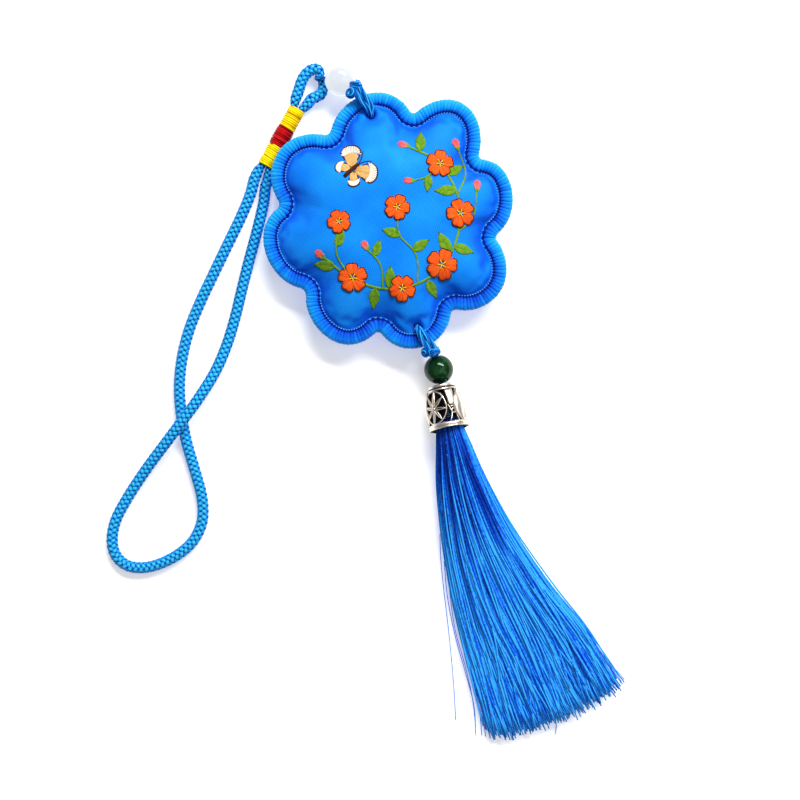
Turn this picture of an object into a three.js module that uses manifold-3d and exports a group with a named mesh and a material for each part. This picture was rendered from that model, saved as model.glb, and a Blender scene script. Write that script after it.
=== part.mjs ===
// Scented sachet: a stuffed, flower-shaped satin cushion with a thread-wrapped edge. A braided
// cord with a wound binding and a bead hangs it up, and a bead, a pierced metal cap and a tassel
// hang below it.
// Millimetres, +Z up. The sachet lies on its back on the surface z = 0. The origin is under the
// middle of the cushion, and +Y points from the tassel to the hanging cord.

import * as THREE from "three";
import { mergeVertices } from "three/addons/utils/BufferGeometryUtils.js";
import Module from "manifold-3d";

const wasm = await Module();
wasm.setup();

// Driving dimensions of the cushion
const GAP = 0.3; // clearance between neighbouring pieces
const LOBES = 8;
const LOBE_TIP_RADIUS = 38; // cushion's centre to the edge's outer side, at a lobe
const NOTCH_RADIUS = 32; // the same, between two lobes
const NOTCH_FILLET = 1.6; // radius of the small hollow arc in each notch
const SEAM_Z = 6.8; // height of the seam between the two panels
const CROWN_Z = 14.6; // top of the stuffed front panel
const CLOTH = 1.0; // thickness of a quilted satin panel
const EDGE_WIDTH = 4.1; // thread-wrapped edge, from its outer side to its needle line
const EDGE_HEIGHT = 4.2;
const EYELET_RADIUS = 1.3;
const EYELETS = { top: { x: 1.5, y: 31.0 }, bottom: { x: 0.3, y: -32.0 } };

// Hand sewing leaves the flower uneven. From +X round to the left, how many degrees each lobe, and the
// notch after it, is turned from its even place, and how much further out it reaches.
const SEWN = [
  { lobeTurn: 3, lobeReach: -1.7, notchTurn: -0.5, notchReach: -0.4 },
  { lobeTurn: -0.5, lobeReach: 1.9, notchTurn: -2.5, notchReach: -0.1 },
  { lobeTurn: -4.5, lobeReach: -0.5, notchTurn: 0, notchReach: -1.0 },
  { lobeTurn: 0.5, lobeReach: 0.3, notchTurn: 1, notchReach: 0.8 },
  { lobeTurn: -1, lobeReach: -0.4, notchTurn: 3, notchReach: 0.4 },
  { lobeTurn: 6, lobeReach: 0.7, notchTurn: 2.5, notchReach: 0.6 },
  { lobeTurn: 0, lobeReach: -0.2, notchTurn: -1.5, notchReach: -0.3 },
  { lobeTurn: -1, lobeReach: -0.2, notchTurn: 0, notchReach: -1.2 },
];

// Driving dimensions of the cords, beads and bindings
const CORD_RADIUS = 1.75; // braided hanging cord
const TIE_RADIUS = 0.85; // knotted tie cord
const TIE_END_RADIUS = 0.4; // where it is drawn thin round the small loop
const WHITE_BEAD = { radius: 4.7, bore: 1.2, x: -4.6, y: 43.5, z: 5.3, turn: -22 };
const GREEN_BEAD = { radius: 4.3, bore: 1.2, x: 3.45, y: -45.1 };
const BINDING = { x: -25.4, y: 31.7, turn: 47.5, halfWidth: 2.55, halfHeight: 2.1, wall: 0.6 };

// Driving dimensions of the cap and the tassel
const CAP = { length: 13.0, topRadius: 4.05, bellyRadius: 5.6, rimRadius: 5.95, wall: 0.9 };
const CAP_TOP = { x: 3.1, y: -49.75 };
const CAP_LEAN = 2.8; // degrees that the cap's axis turns from -Y towards -X
const TASSEL_HEAD_RADIUS = 2.7;

// Finishes
const finish = (color, roughness, metalness = 0) =>
  new THREE.MeshStandardMaterial({ color, roughness, metalness });
const FINISHES = {
  satin: finish(0x1683ee, 0.45),
  stuffing: finish(0xb89a6a, 0.95),
  edgeThread: finish(0x1273e6, 0.5),
  cord: finish(0x1f86dd, 0.5),
  yellowThread: finish(0xf6cf1a, 0.45),
  redThread: finish(0xa8141c, 0.45),
  milkGlass: finish(0xf1f3f8, 0.15),
  greenGlass: finish(0x1d4a2c, 0.08),
  antiqueSilver: finish(0xb9b3a4, 0.35, 1),
  tasselThread: finish(0x1668d2, 0.45),
};

const radians = THREE.MathUtils.degToRad;
const UP = new THREE.Vector3(0, 0, 1);
const sachet = new THREE.Group();

function addPiece(name, geometry, material, parent = sachet) {
  const mesh = new THREE.Mesh(geometry, material);
  mesh.name = name;
  parent.add(mesh);
  return mesh;
}

// Solids: closed geometries to and from the boolean library

function solidOf(geometry) {
  const bare = geometry.index ? geometry.toNonIndexed() : geometry.clone();
  bare.deleteAttribute("normal");
  bare.deleteAttribute("uv");
  const merged = mergeVertices(bare, 1e-4);
  const mesh = new wasm.Mesh({
    numProp: 3,
    vertProperties: merged.attributes.position.array,
    triVerts: new Uint32Array(merged.index.array),
  });
  return new wasm.Manifold(mesh);
}

function geometryOf(solid) {
  const mesh = solid.getMesh();
  const geometry = new THREE.BufferGeometry();
  geometry.setAttribute("position", new THREE.BufferAttribute(mesh.vertProperties, 3));
  geometry.setIndex(new THREE.BufferAttribute(mesh.triVerts, 1));
  return geometry;
}

// The joined solid, without the slivers that are left where two surfaces almost coincide.
const JOIN_TOLERANCE = 0.08;

function join(geometries) {
  const joined = geometries.map(solidOf).reduce((a, b) => a.add(b)).simplify(JOIN_TOLERANCE);
  return geometryOf(joined.decompose().reduce((a, b) => (b.volume() > a.volume() ? b : a)));
}

const cut = (geometry, cutters) =>
  geometryOf(cutters.map(solidOf).reduce((a, b) => a.subtract(b), solidOf(geometry)));

// A skin through rings of points that all turn the same way. An open one is closed by a fan at each end.
function loft(rings, closed = false) {
  const sides = rings[0].length;
  const points = rings.flat();
  const triangles = [];
  const last = closed ? rings.length : rings.length - 1;
  for (let ring = 0; ring < last; ring++) {
    const here = ring * sides;
    const next = ((ring + 1) % rings.length) * sides;
    for (let side = 0; side < sides; side++) {
      const after = (side + 1) % sides;
      triangles.push(here + side, here + after, next + after);
      triangles.push(here + side, next + after, next + side);
    }
  }
  if (!closed) {
    for (const [ring, flip] of [[0, true], [rings.length - 1, false]]) {
      const middle = rings[ring].reduce((sum, p) => sum.add(p), new THREE.Vector3());
      points.push(middle.divideScalar(sides));
      for (let side = 0; side < sides; side++) {
        const pair = [ring * sides + side, ring * sides + ((side + 1) % sides)];
        triangles.push(...(flip ? pair.reverse() : pair), points.length - 1);
      }
    }
  }
  const geometry = new THREE.BufferGeometry().setFromPoints(points);
  return geometry.setIndex(triangles);
}

// A round cord along a smooth curve.
function tube(points, radius, steps, sides) {
  const section = new THREE.Shape();
  section.absarc(0, 0, radius, 0, Math.PI * 2);
  const path = new THREE.CatmullRomCurve3(points.map((p) => new THREE.Vector3(...p)));
  return new THREE.ExtrudeGeometry(section, { curveSegments: sides / 2, steps, extrudePath: path });
}

// A ring of an ellipse in the plane of two unit vectors.
function ellipse(centre, across, up, halfWidth, halfHeight, sides) {
  return Array.from({ length: sides }, (_, side) => {
    const angle = (side / sides) * Math.PI * 2;
    return centre
      .clone()
      .addScaledVector(across, halfWidth * Math.cos(angle))
      .addScaledVector(up, halfHeight * Math.sin(angle));
  });
}

// Flower outline: round lobes joined by small hollow arcs, set in from the edge's outer side
const HALF_LOBE = Math.PI / LOBES;
const NOTCH_CENTRE = NOTCH_RADIUS + NOTCH_FILLET;
const TIP_TO_FILLET = LOBE_TIP_RADIUS + NOTCH_FILLET;
const LOBE_CENTRE =
  (TIP_TO_FILLET ** 2 - NOTCH_CENTRE ** 2) /
  (2 * (TIP_TO_FILLET - NOTCH_CENTRE * Math.cos(HALF_LOBE)));
const LOBE_RADIUS = LOBE_TIP_RADIUS - LOBE_CENTRE;
const LOBE_SWEEP = Math.atan2(
  NOTCH_CENTRE * Math.sin(HALF_LOBE),
  NOTCH_CENTRE * Math.cos(HALF_LOBE) - LOBE_CENTRE,
);
const LOBE_STEPS = 6;
const SEWN_PLACES = SEWN.flatMap(({ lobeTurn, lobeReach, notchTurn, notchReach }) => [
  { turn: lobeTurn, reach: lobeReach },
  { turn: notchTurn, reach: notchReach },
]);

// Moves a point of the even flower, with its normal, to where the sewing has it.
function sew({ point, normal }) {
  const bearing = Math.atan2(point.y, point.x);
  const place = THREE.MathUtils.euclideanModulo(bearing / HALF_LOBE, SEWN_PLACES.length);
  const before = SEWN_PLACES[Math.floor(place)];
  const after = SEWN_PLACES[(Math.floor(place) + 1) % SEWN_PLACES.length];
  const share = THREE.MathUtils.smoothstep(place % 1, 0, 1);
  const turn = radians(THREE.MathUtils.lerp(before.turn, after.turn, share));
  point.setLength(point.length() + THREE.MathUtils.lerp(before.reach, after.reach, share));
  point.applyAxisAngle(UP, turn);
  normal.applyAxisAngle(UP, turn);
}

function flowerOutline(inset) {
  const outline = [];
  for (let lobe = 0; lobe < LOBES; lobe++) {
    const axis = lobe * 2 * HALF_LOBE;
    for (let step = 0; step <= LOBE_STEPS; step++) {
      const angle = axis - LOBE_SWEEP + (2 * LOBE_SWEEP * step) / LOBE_STEPS;
      const normal = new THREE.Vector3(Math.cos(angle), Math.sin(angle), 0);
      const point = new THREE.Vector3(Math.cos(axis), Math.sin(axis), 0)
        .multiplyScalar(LOBE_CENTRE)
        .addScaledVector(normal, LOBE_RADIUS - inset);
      outline.push({ point, normal });
    }
    const normal = new THREE.Vector3(Math.cos(axis + HALF_LOBE), Math.sin(axis + HALF_LOBE), 0);
    outline.push({ point: normal.clone().multiplyScalar(NOTCH_RADIUS - inset), normal });
  }
  outline.forEach(sew);
  return outline;
}

// Cushion: two domed satin panels with flat rims, a stuffing between them and the wrapped edge
const RIM_INSET = EDGE_WIDTH / 2;
const DOME_INSET = EDGE_WIDTH + 0.35; // the panels start to rise just inside the edge
const DOME_OUTLINE = flowerOutline(DOME_INSET).map(({ point }) => point);
const DOME_MEAN_RADIUS =
  DOME_OUTLINE.reduce((sum, point) => sum + point.length(), 0) / DOME_OUTLINE.length;
const FRONT_RIM_Z = SEAM_Z + GAP / 2 + CLOTH;
const BACK_RIM_Z = SEAM_Z - GAP / 2 - CLOTH;
const FRONT_RISE = CROWN_Z - FRONT_RIM_Z;
const BACK_DROP = 7.0; // how far the back would bulge if the surface did not flatten it

const puff = (share) => (1 - share ** 2.4) ** 0.75;
const frontZ = (share) => FRONT_RIM_Z + FRONT_RISE * puff(share);
const backZ = (share) => Math.max(0, BACK_RIM_Z - BACK_DROP * puff(share));

// A contour of the dome: the flower outline near the rim, rounder towards the middle.
function domeRing(share, z) {
  return DOME_OUTLINE.map((point) => {
    const round = point.clone().setLength(DOME_MEAN_RADIUS);
    return round.lerp(point, share * share).multiplyScalar(share).setZ(z);
  });
}

const rimRing = (z) => flowerOutline(RIM_INSET).map(({ point }) => point.setZ(z));

// A panel from two sets of contours, its outer and its inner side, with a flat rim.
function panel(outerShares, outerZ, innerShares, innerZ) {
  const outer = outerShares.map((share) => domeRing(share, outerZ(share)));
  const inner = innerShares.map((share) => domeRing(share, innerZ(share)));
  return [...outer, rimRing(outerZ(1)), rimRing(innerZ(1)), ...inner.toReversed()];
}

const eyeletCutter = ({ x, y }, radius) =>
  new THREE.CylinderGeometry(radius, radius, 4 * CROWN_Z, 12).rotateX(Math.PI / 2).translate(x, y, 0);

const FRONT_SHARES = [0.28, 0.58, 0.82, 0.94, 1];
const BACK_SHARES = [0.28, 0.55, 0.76, 0.92, 1];
const INNER_SHARES = [0.58, 0.94, 1];

function makeCushion() {
  const eyelets = Object.values(EYELETS).map((eyelet) => eyeletCutter(eyelet, EYELET_RADIUS));
  const front = panel(FRONT_SHARES, frontZ, INNER_SHARES, (share) => frontZ(share) - CLOTH);
  addPiece("front_panel", cut(loft(front.toReversed()), eyelets), FINISHES.satin);
  const back = panel(BACK_SHARES, backZ, INNER_SHARES, (share) => backZ(share) + CLOTH);
  addPiece("back_panel", cut(loft(back), eyelets), FINISHES.satin);

  const inside = CLOTH + GAP;
  const shares = INNER_SHARES.slice(0, -1);
  const upper = shares.map((share) => domeRing(share, frontZ(share) - inside));
  const lower = shares.map((share) => domeRing(share, backZ(share) + inside));
  const channels = Object.values(EYELETS).map((eyelet) => eyeletCutter(eyelet, EYELET_RADIUS + 1));
  addPiece("scent_filling", cut(loft([...lower, ...upper.toReversed()]), channels), FINISHES.stuffing);
}

// Thread wrapped round the rims of both panels: a rounded band with a groove that holds them.
const EDGE_SQUARENESS = 0.6;
const EDGE_STEPS = 7;
const EDGE_LIP_ANGLE = radians(146);

function edgeSection() {
  const bend = (value, half) => half * Math.sign(value) * Math.abs(value) ** EDGE_SQUARENESS;
  const section = Array.from({ length: EDGE_STEPS + 1 }, (_, step) => {
    const angle = EDGE_LIP_ANGLE * (1 - (2 * step) / EDGE_STEPS);
    return [bend(Math.cos(angle), EDGE_WIDTH / 2), bend(Math.sin(angle), EDGE_HEIGHT / 2)];
  });
  const grooveHalf = FRONT_RIM_Z - SEAM_Z + GAP;
  return [...section, [GAP, -grooveHalf], [GAP, grooveHalf]];
}

function makeEdge() {
  const section = edgeSection();
  const rings = flowerOutline(RIM_INSET).map(({ point, normal }) =>
    section.map(([out, up]) => point.clone().addScaledVector(normal, out).setZ(SEAM_Z + up)),
  );
  addPiece("wrapped_edge", loft(rings, true), FINISHES.edgeThread);
}

// Hanging cord: two strands run side by side through a wound binding. Below it they part into the
// big loop, and above it into the small one. "along" runs up the binding, "side" to its right.
const ALONG = new THREE.Vector3(Math.cos(radians(BINDING.turn)), Math.sin(radians(BINDING.turn)), 0);
const SIDE = new THREE.Vector3(ALONG.y, -ALONG.x, 0);

function onBinding(along, side, z) {
  return new THREE.Vector3(BINDING.x, BINDING.y, z).addScaledVector(ALONG, along).addScaledVector(SIDE, side);
}

const WINDINGS = [
  { name: "binding_lower", finish: "yellowThread", from: -9.5, to: -3.15, swell: 0 },
  { name: "binding_middle", finish: "redThread", from: -2.85, to: 2.85, swell: 0.2 },
  { name: "binding_upper", finish: "yellowThread", from: 3.15, to: 9.5, swell: 0 },
];
const WINDING_SIDES = 16;
const BINDING_Z = BINDING.halfHeight + 0.2; // its middle, so that the swollen band just clears the surface

function makeBindings() {
  for (const { name, finish: thread, from, to, swell } of WINDINGS) {
    const ring = (along, wall) =>
      ellipse(
        onBinding(along, 0, BINDING_Z),
        SIDE,
        UP,
        BINDING.halfWidth + wall,
        BINDING.halfHeight + wall,
        WINDING_SIDES,
      );
    const outer = [[from, -0.15], [from + 0.5, 0], [(from + to) / 2, swell], [to - 0.5, 0], [to, -0.15]];
    const rings = outer.map(([along, wall]) => ring(along, wall));
    rings.push(ring(to, -BINDING.wall), ring(from, -BINDING.wall));
    addPiece(name, loft(rings.toReversed(), true), FINISHES[thread]);
  }
}

// The squeezed stretch of the two strands, which the binding holds.
const NECK = [
  { along: -13.4, middle: 0.7, apart: 1.95, halfWidth: 1.75, halfHeight: 1.75, z: 1.75 },
  { along: -11.6, middle: 0.3, apart: 1.55, halfWidth: 1.45, halfHeight: 1.65, z: 2.0 },
  { along: -10.0, middle: 0, apart: 0.8, halfWidth: 0.85, halfHeight: 1.15, z: 2.3 },
  { along: 10.0, middle: 0, apart: 0.8, halfWidth: 0.85, halfHeight: 1.15, z: 2.3 },
  { along: 11.4, middle: 0, apart: 1.55, halfWidth: 1.4, halfHeight: 1.65, z: 2.2 },
  { along: 12.8, middle: 0, apart: 2.1, halfWidth: 1.75, halfHeight: 1.75, z: 2.3 },
];

function makeNeck() {
  const strands = [-1, 1].map((hand) =>
    loft(
      NECK.map(({ along, middle, apart, halfWidth, halfHeight, z }) =>
        ellipse(onBinding(along, middle + hand * apart, z), UP, SIDE, halfHeight, halfWidth, 8),
      ),
    ),
  );
  addPiece("cord_neck", join(strands), FINISHES.cord);
}

// The small loop, in the binding's own directions. The tie draws it in to a waist beside the bead.
const SMALL_LOOP = [
  { along: 13.25, side: -2.1, z: 2.3, half: 1.75 },
  { along: 14.2, side: -2.2, z: 2.3, half: 1.75 },
  { along: 16.4, side: -2.7, z: 2.4, half: 1.75 },
  { along: 18.4, side: -2.9, z: 2.5, half: 1.75 },
  { along: 20.4, side: -2.5, z: 2.6, half: 1.75 },
  { along: 21.9, side: -1.5, z: 2.7, half: 1.7 },
  { along: 22.3, side: -0.1, z: 2.7, half: 1.45 },
  { along: 21.6, side: 0.95, z: 2.7, half: 1.1 },
  { along: 20.6, side: 1.6, z: 2.7, half: 0.85 },
  { along: 19.6, side: 2.3, z: 2.5, half: 1.1 },
  { along: 18.6, side: 3.0, z: 2.2, half: 1.45 },
  { along: 17.0, side: 3.3, z: 2.0, half: 1.7 },
  { along: 15.4, side: 2.75, z: 2.1, half: 1.75 },
  { along: 14.2, side: 2.2, z: 2.3, half: 1.75 },
  { along: 13.25, side: 2.1, z: 2.3, half: 1.75 },
];

// Centre line of the big loop: down the outer strand, under the crossing, round and over it, and up.
const BIG_LOOP = [
  [-35.65, 22.3, 1.75],
  [-36.15, 21.65, 1.75],
  [-38.3, 17.6, 1.75],
  [-42.6, 11.7, 1.75],
  [-48.4, 4.6, 1.75],
  [-54.1, -2.4, 1.75],
  [-59.8, -9.5, 1.75],
  [-64.9, -16.7, 1.75],
  [-68.8, -24.2, 1.75],
  [-71.5, -32.0, 1.75],
  [-72.9, -40.1, 1.75],
  [-73.3, -48.4, 1.75],
  [-72.9, -57.0, 1.75],
  [-72.7, -65.0, 1.75],
  [-74.2, -71.9, 1.75],
  [-78.0, -76.9, 1.75],
  [-83.1, -79.8, 1.75],
  [-88.9, -81.3, 1.75],
  [-94.3, -81.3, 1.75],
  [-98.6, -79.6, 1.75],
  [-101.1, -76.2, 1.75],
  [-101.3, -71.7, 1.75],
  [-99.0, -66.2, 1.75],
  [-94.0, -60.4, 1.9],
  [-86.6, -53.6, 3.0],
  [-78.3, -46.9, 4.9],
  [-72.5, -42.2, 5.7],
  [-66.7, -37.2, 5.3],
  [-60.2, -30.5, 3.2],
  [-55.0, -23.3, 1.95],
  [-50.7, -15.9, 1.75],
  [-46.9, -8.4, 1.75],
  [-43.0, -0.9, 1.75],
  [-38.9, 6.6, 1.75],
  [-35.2, 13.9, 1.75],
  [-33.8, 17.6, 1.75],
  [-33.25, 19.0, 1.75],
  [-32.8, 19.65, 1.75],
];

function makeHangingCord() {
  const places = SMALL_LOOP.map(({ along, side, z }) => onBinding(along, side, z));
  const rings = SMALL_LOOP.map(({ half }, index) => {
    const ahead = places[Math.min(index + 1, places.length - 1)];
    const heading = ahead.clone().sub(places[Math.max(index - 1, 0)]).setZ(0).normalize();
    const across = new THREE.Vector3(heading.y, -heading.x, 0);
    return ellipse(places[index], UP, across, half, half, 8);
  });
  addPiece("small_loop", loft(rings), FINISHES.cord);
  addPiece("big_loop", tube(BIG_LOOP, CORD_RADIUS, 66, 8), FINISHES.cord);
}

// A drilled round bead, its bore along X.
const BEAD_STEPS = 7;

function bead({ radius, bore }) {
  const mouth = Math.asin(bore / radius);
  const profile = Array.from({ length: BEAD_STEPS + 1 }, (_, step) => {
    const angle = mouth + ((Math.PI - 2 * mouth) * step) / BEAD_STEPS;
    return new THREE.Vector2(radius * Math.sin(angle), -radius * Math.cos(angle));
  });
  return new THREE.LatheGeometry([...profile, profile[0].clone()], 12).rotateZ(-Math.PI / 2);
}

// One tight turn of a knot, its axis tilted from straight up towards a heading.
function knotTurn(place, radius, tilt, heading) {
  return new THREE.TorusGeometry(radius, TIE_RADIUS, 6, 9)
    .rotateY(radians(tilt))
    .rotateZ(radians(heading))
    .translate(...place);
}

const tie = (points, steps, radius = TIE_RADIUS) => tube(points, radius, steps, 6);

// Upper tie: round the small loop, through the white bead, a knot, and through the top eyelet.
const BORE = new THREE.Vector3(
  Math.cos(radians(WHITE_BEAD.turn)),
  Math.sin(radians(WHITE_BEAD.turn)),
  0,
);

// Places on the bead's bore line: how far along it from the bead's middle, and how high.
const onBore = (along, z) =>
  new THREE.Vector3(WHITE_BEAD.x, WHITE_BEAD.y, z).addScaledVector(BORE, along).toArray();

// The thin ring of the tie that draws in the small loop's waist.
const WAIST = { along: -6.15, z: 2.7, ring: 1.55 };

function makeUpperTie() {
  const { x, y, z } = WHITE_BEAD;
  const whiteBead = addPiece("white_bead", bead(WHITE_BEAD), FINISHES.milkGlass);
  whiteBead.position.set(x, y, z);
  whiteBead.rotation.z = radians(WHITE_BEAD.turn);

  const eyelet = EYELETS.top;
  const knotAt = [-0.75, 40.0, 9.9];
  const ring = new THREE.TorusGeometry(WAIST.ring, TIE_END_RADIUS, 6, 12)
    .rotateX(Math.PI / 2)
    .rotateZ(radians(WHITE_BEAD.turn))
    .translate(...onBore(WAIST.along, WAIST.z));
  const toRing = [
    onBore(-3.6, z),
    onBore(-4.7, z),
    onBore(-5.5, z - 0.45),
    onBore(WAIST.along, WAIST.z + WAIST.ring),
  ];
  const throughBead = [
    onBore(-4.2, z),
    onBore(0, z),
    onBore(4.5, z),
    [0.25, 41.1, 6.3],
    [0.0, 40.5, 8.3],
    knotAt,
  ];
  const roundTheEdge = [
    [-1.9, 39.7, 10.3],
    [-1.5, 37.8, 10.8],
    [-0.6, 35.2, 10.5],
    [0.9, 32.8, 10.2],
    [eyelet.x, eyelet.y, 8.9],
    [eyelet.x, eyelet.y, 5.0],
    [1.0, 33.6, 3.2],
    [0.4, 36.4, 3.2],
    [-0.3, 38.9, 4.4],
    [-0.5, 39.7, 6.8],
    [-0.6, 39.9, 8.8],
  ];
  const besideIt = [
    [-0.1, 39.8, 10.3],
    [0.5, 37.8, 10.8],
    [1.3, 35.2, 10.5],
    [2.0, 33.0, 10.1],
    [eyelet.x + 0.1, eyelet.y + 0.2, 8.9],
  ];
  const turns = [knotTurn(knotAt, 1.15, 70, 75), knotTurn([-2.7, 37.9, 10.9], 0.85, 35, 150)];
  const thin = [ring, tie(toRing, 5, TIE_END_RADIUS)];
  const thick = [tie(throughBead, 8), tie(besideIt, 6), tie(roundTheEdge, 14)];
  addPiece("upper_tie", join([...thin, ...thick, ...turns]), FINISHES.cord);
}

// Lower chain: the green bead, the cap and the tassel follow one line that rises towards the rim.
const CAP_RISE = Math.asin((CAP.rimRadius - CAP.topRadius) / CAP.length);
const CAP_TOP_Z = CAP.topRadius / Math.cos(CAP_RISE);
const HANG = new THREE.Vector3(
  -Math.sin(radians(CAP_LEAN)) * Math.cos(CAP_RISE),
  -Math.cos(radians(CAP_LEAN)) * Math.cos(CAP_RISE),
  Math.sin(CAP_RISE),
);

// Places on the cap's axis, measured down from its top rim.
const onCapAxis = (down) => new THREE.Vector3(CAP_TOP.x, CAP_TOP.y, CAP_TOP_Z).addScaledVector(HANG, down);

function makeLowerTie() {
  const { x, y, radius } = GREEN_BEAD;
  const greenBead = addPiece("green_bead", bead(GREEN_BEAD), FINISHES.greenGlass);
  greenBead.position.set(x, y, radius);
  greenBead.rotation.z = radians(-90 - CAP_LEAN);

  const eyelet = EYELETS.bottom;
  const knotAt = [3.1, -40.0, 9.4];
  const roundTheEdge = [
    [2.0, -40.2, 9.6],
    [1.5, -38.2, 10.6],
    [0.7, -35.8, 10.5],
    [0.3, -33.8, 10.2],
    [eyelet.x, eyelet.y, 8.9],
    [eyelet.x, eyelet.y, 5.0],
    [0.8, -34.6, 3.2],
    [1.6, -37.2, 3.2],
    [2.3, -39.7, 4.6],
    [2.6, -40.2, 6.8],
    [2.8, -40.1, 8.4],
  ];
  const besideIt = [
    [3.6, -39.8, 9.8],
    [3.3, -38.0, 10.6],
    [2.4, -35.8, 10.5],
    [1.4, -33.9, 10.1],
    [eyelet.x + 0.1, eyelet.y - 0.2, 8.9],
  ];
  const throughBead = [
    knotAt,
    [3.5, -39.9, 6.6],
    [3.6, -40.2, 4.6],
    [3.55, -42.3, radius],
    [x, y, radius],
    onCapAxis(1.0).toArray(),
  ];
  const turns = [knotTurn(knotAt, 1.15, 70, -75), knotTurn([0.8, -39.5, 10.0], 0.7, 50, 200)];
  const thick = [tie(throughBead, 8), tie(besideIt, 6), tie(roundTheEdge, 14)];
  addPiece("lower_tie", join([...thick, ...turns]), FINISHES.cord);
}

// Cap: a cast bell with rolled rims. Two pierced daisy medallions alternate with two raised leaves.
const CAP_SIDES = 20;
const DAISY = { halfWidth: 3.2, halfHeight: 4.6, middle: 6.9, petals: 8, hub: 0.26, frame: 0.8, spoke: 9 };
const LEAF = { halfWidth: 2.7, halfHeight: 4.5, raise: 0.35 };
const CORNER = { halfWidth: 1.3, height: 2.2, low: 1.5 };
const WALL_INSET = 0.35; // the wall stands this far inside the rolled rims
const BELLY_SHARE = 0.8;
const WINDOW_FROM = 1; // the windows are cut outwards from this close to the axis
const DAISY_TURNS = [138, 318]; // degrees round the cap's axis from straight up
const LEAF_TURNS = [48, 228];

// The cap's outer radius at a height above its rim.
function capRadius(height) {
  const share = height / CAP.length;
  const straight = CAP.rimRadius + (CAP.topRadius - CAP.rimRadius) * share;
  const belly = (CAP.bellyRadius - straight) * Math.sin(Math.PI * share) * BELLY_SHARE;
  return straight - WALL_INSET + Math.max(0, belly);
}

function capBody() {
  const heights = [1.1, 4.0, 8.0, 12.0];
  const outside = heights.map((height) => new THREE.Vector2(capRadius(height), height));
  const inside = heights.map((height) => new THREE.Vector2(capRadius(height) - CAP.wall, height)).reverse();
  const top = [
    new THREE.Vector2(CAP.topRadius, 12.2),
    new THREE.Vector2(CAP.topRadius, 12.8),
    new THREE.Vector2(CAP.topRadius - 0.4, CAP.length),
    new THREE.Vector2(CAP.topRadius - 1.3, CAP.length),
  ];
  const rim = [
    new THREE.Vector2(CAP.rimRadius - 1.1, 0),
    new THREE.Vector2(CAP.rimRadius - 0.3, 0),
    new THREE.Vector2(CAP.rimRadius, 0.3),
    new THREE.Vector2(CAP.rimRadius, 0.8),
  ];
  const profile = [...rim, ...outside, ...top, ...inside];
  return new THREE.LatheGeometry([...profile, profile[0].clone()], CAP_SIDES).rotateX(Math.PI / 2);
}

// A flat outline as a prism that points out of the cap's wall, at a turn round its axis.
function capPrism(outline, turn, from, to) {
  const shape = new THREE.Shape(outline.map(([across, height]) => new THREE.Vector2(across, height)));
  return new THREE.ExtrudeGeometry(shape, { depth: to - from, bevelEnabled: false })
    .translate(0, 0, from)
    .rotateX(Math.PI / 2)
    .rotateZ(radians(turn) + Math.PI);
}

// One opening between two petals of a daisy.
function petalGap(petal) {
  const step = 360 / DAISY.petals;
  const start = petal * step + DAISY.spoke;
  const stop = (petal + 1) * step - DAISY.spoke;
  const at = (angle, share) => [
    share * DAISY.halfWidth * Math.cos(radians(angle)),
    DAISY.middle + share * DAISY.halfHeight * Math.sin(radians(angle)),
  ];
  const outer = [start, (start + stop) / 2, stop].map((angle) => at(angle, DAISY.frame));
  return [at((start + stop) / 2, DAISY.hub), ...outer];
}

function leafOutline() {
  const steps = 5;
  const edge = Array.from({ length: steps }, (_, step) => {
    const share = step / steps;
    const width = LEAF.halfWidth * Math.sin(Math.PI * share ** 0.75);
    return [width, DAISY.middle - LEAF.halfHeight + 2 * LEAF.halfHeight * share];
  });
  const tip = [0, DAISY.middle + LEAF.halfHeight];
  const mirrored = edge.slice(1).toReversed().map(([across, height]) => [-across, height]);
  return [...edge, tip, ...mirrored];
}

function makeCap() {
  const outside = CAP.rimRadius + 2;
  const windows = [];
  for (const turn of DAISY_TURNS) {
    for (let petal = 0; petal < DAISY.petals; petal++) {
      windows.push(capPrism(petalGap(petal), turn, WINDOW_FROM, outside));
    }
  }
  for (const turn of [...DAISY_TURNS, ...LEAF_TURNS].map((angle) => angle + 45)) {
    const { halfWidth, low, height } = CORNER;
    const corner = [[-halfWidth, low], [halfWidth, low], [0, low + height]];
    windows.push(capPrism(corner, turn, WINDOW_FROM, outside));
  }
  const leaves = LEAF_TURNS.map((turn) => {
    const prism = capPrism(leafOutline(), turn, WINDOW_FROM, outside);
    const skin = capBody().scale(1 + LEAF.raise / CAP.bellyRadius, 1 + LEAF.raise / CAP.bellyRadius, 1);
    return geometryOf(solidOf(prism).intersect(solidOf(skin)));
  });
  const cap = addPiece("bead_cap", join([cut(capBody(), windows), ...leaves]), FINISHES.antiqueSilver);
  cap.position.copy(onCapAxis(CAP.length));
  const alongAxis = new THREE.Matrix4();
  const zAxis = HANG.clone().negate();
  const xAxis = new THREE.Vector3().crossVectors(UP, zAxis).normalize();
  alongAxis.makeBasis(xAxis, new THREE.Vector3().crossVectors(zAxis, xAxis), zAxis);
  cap.quaternion.setFromRotationMatrix(alongAxis);
}

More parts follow.
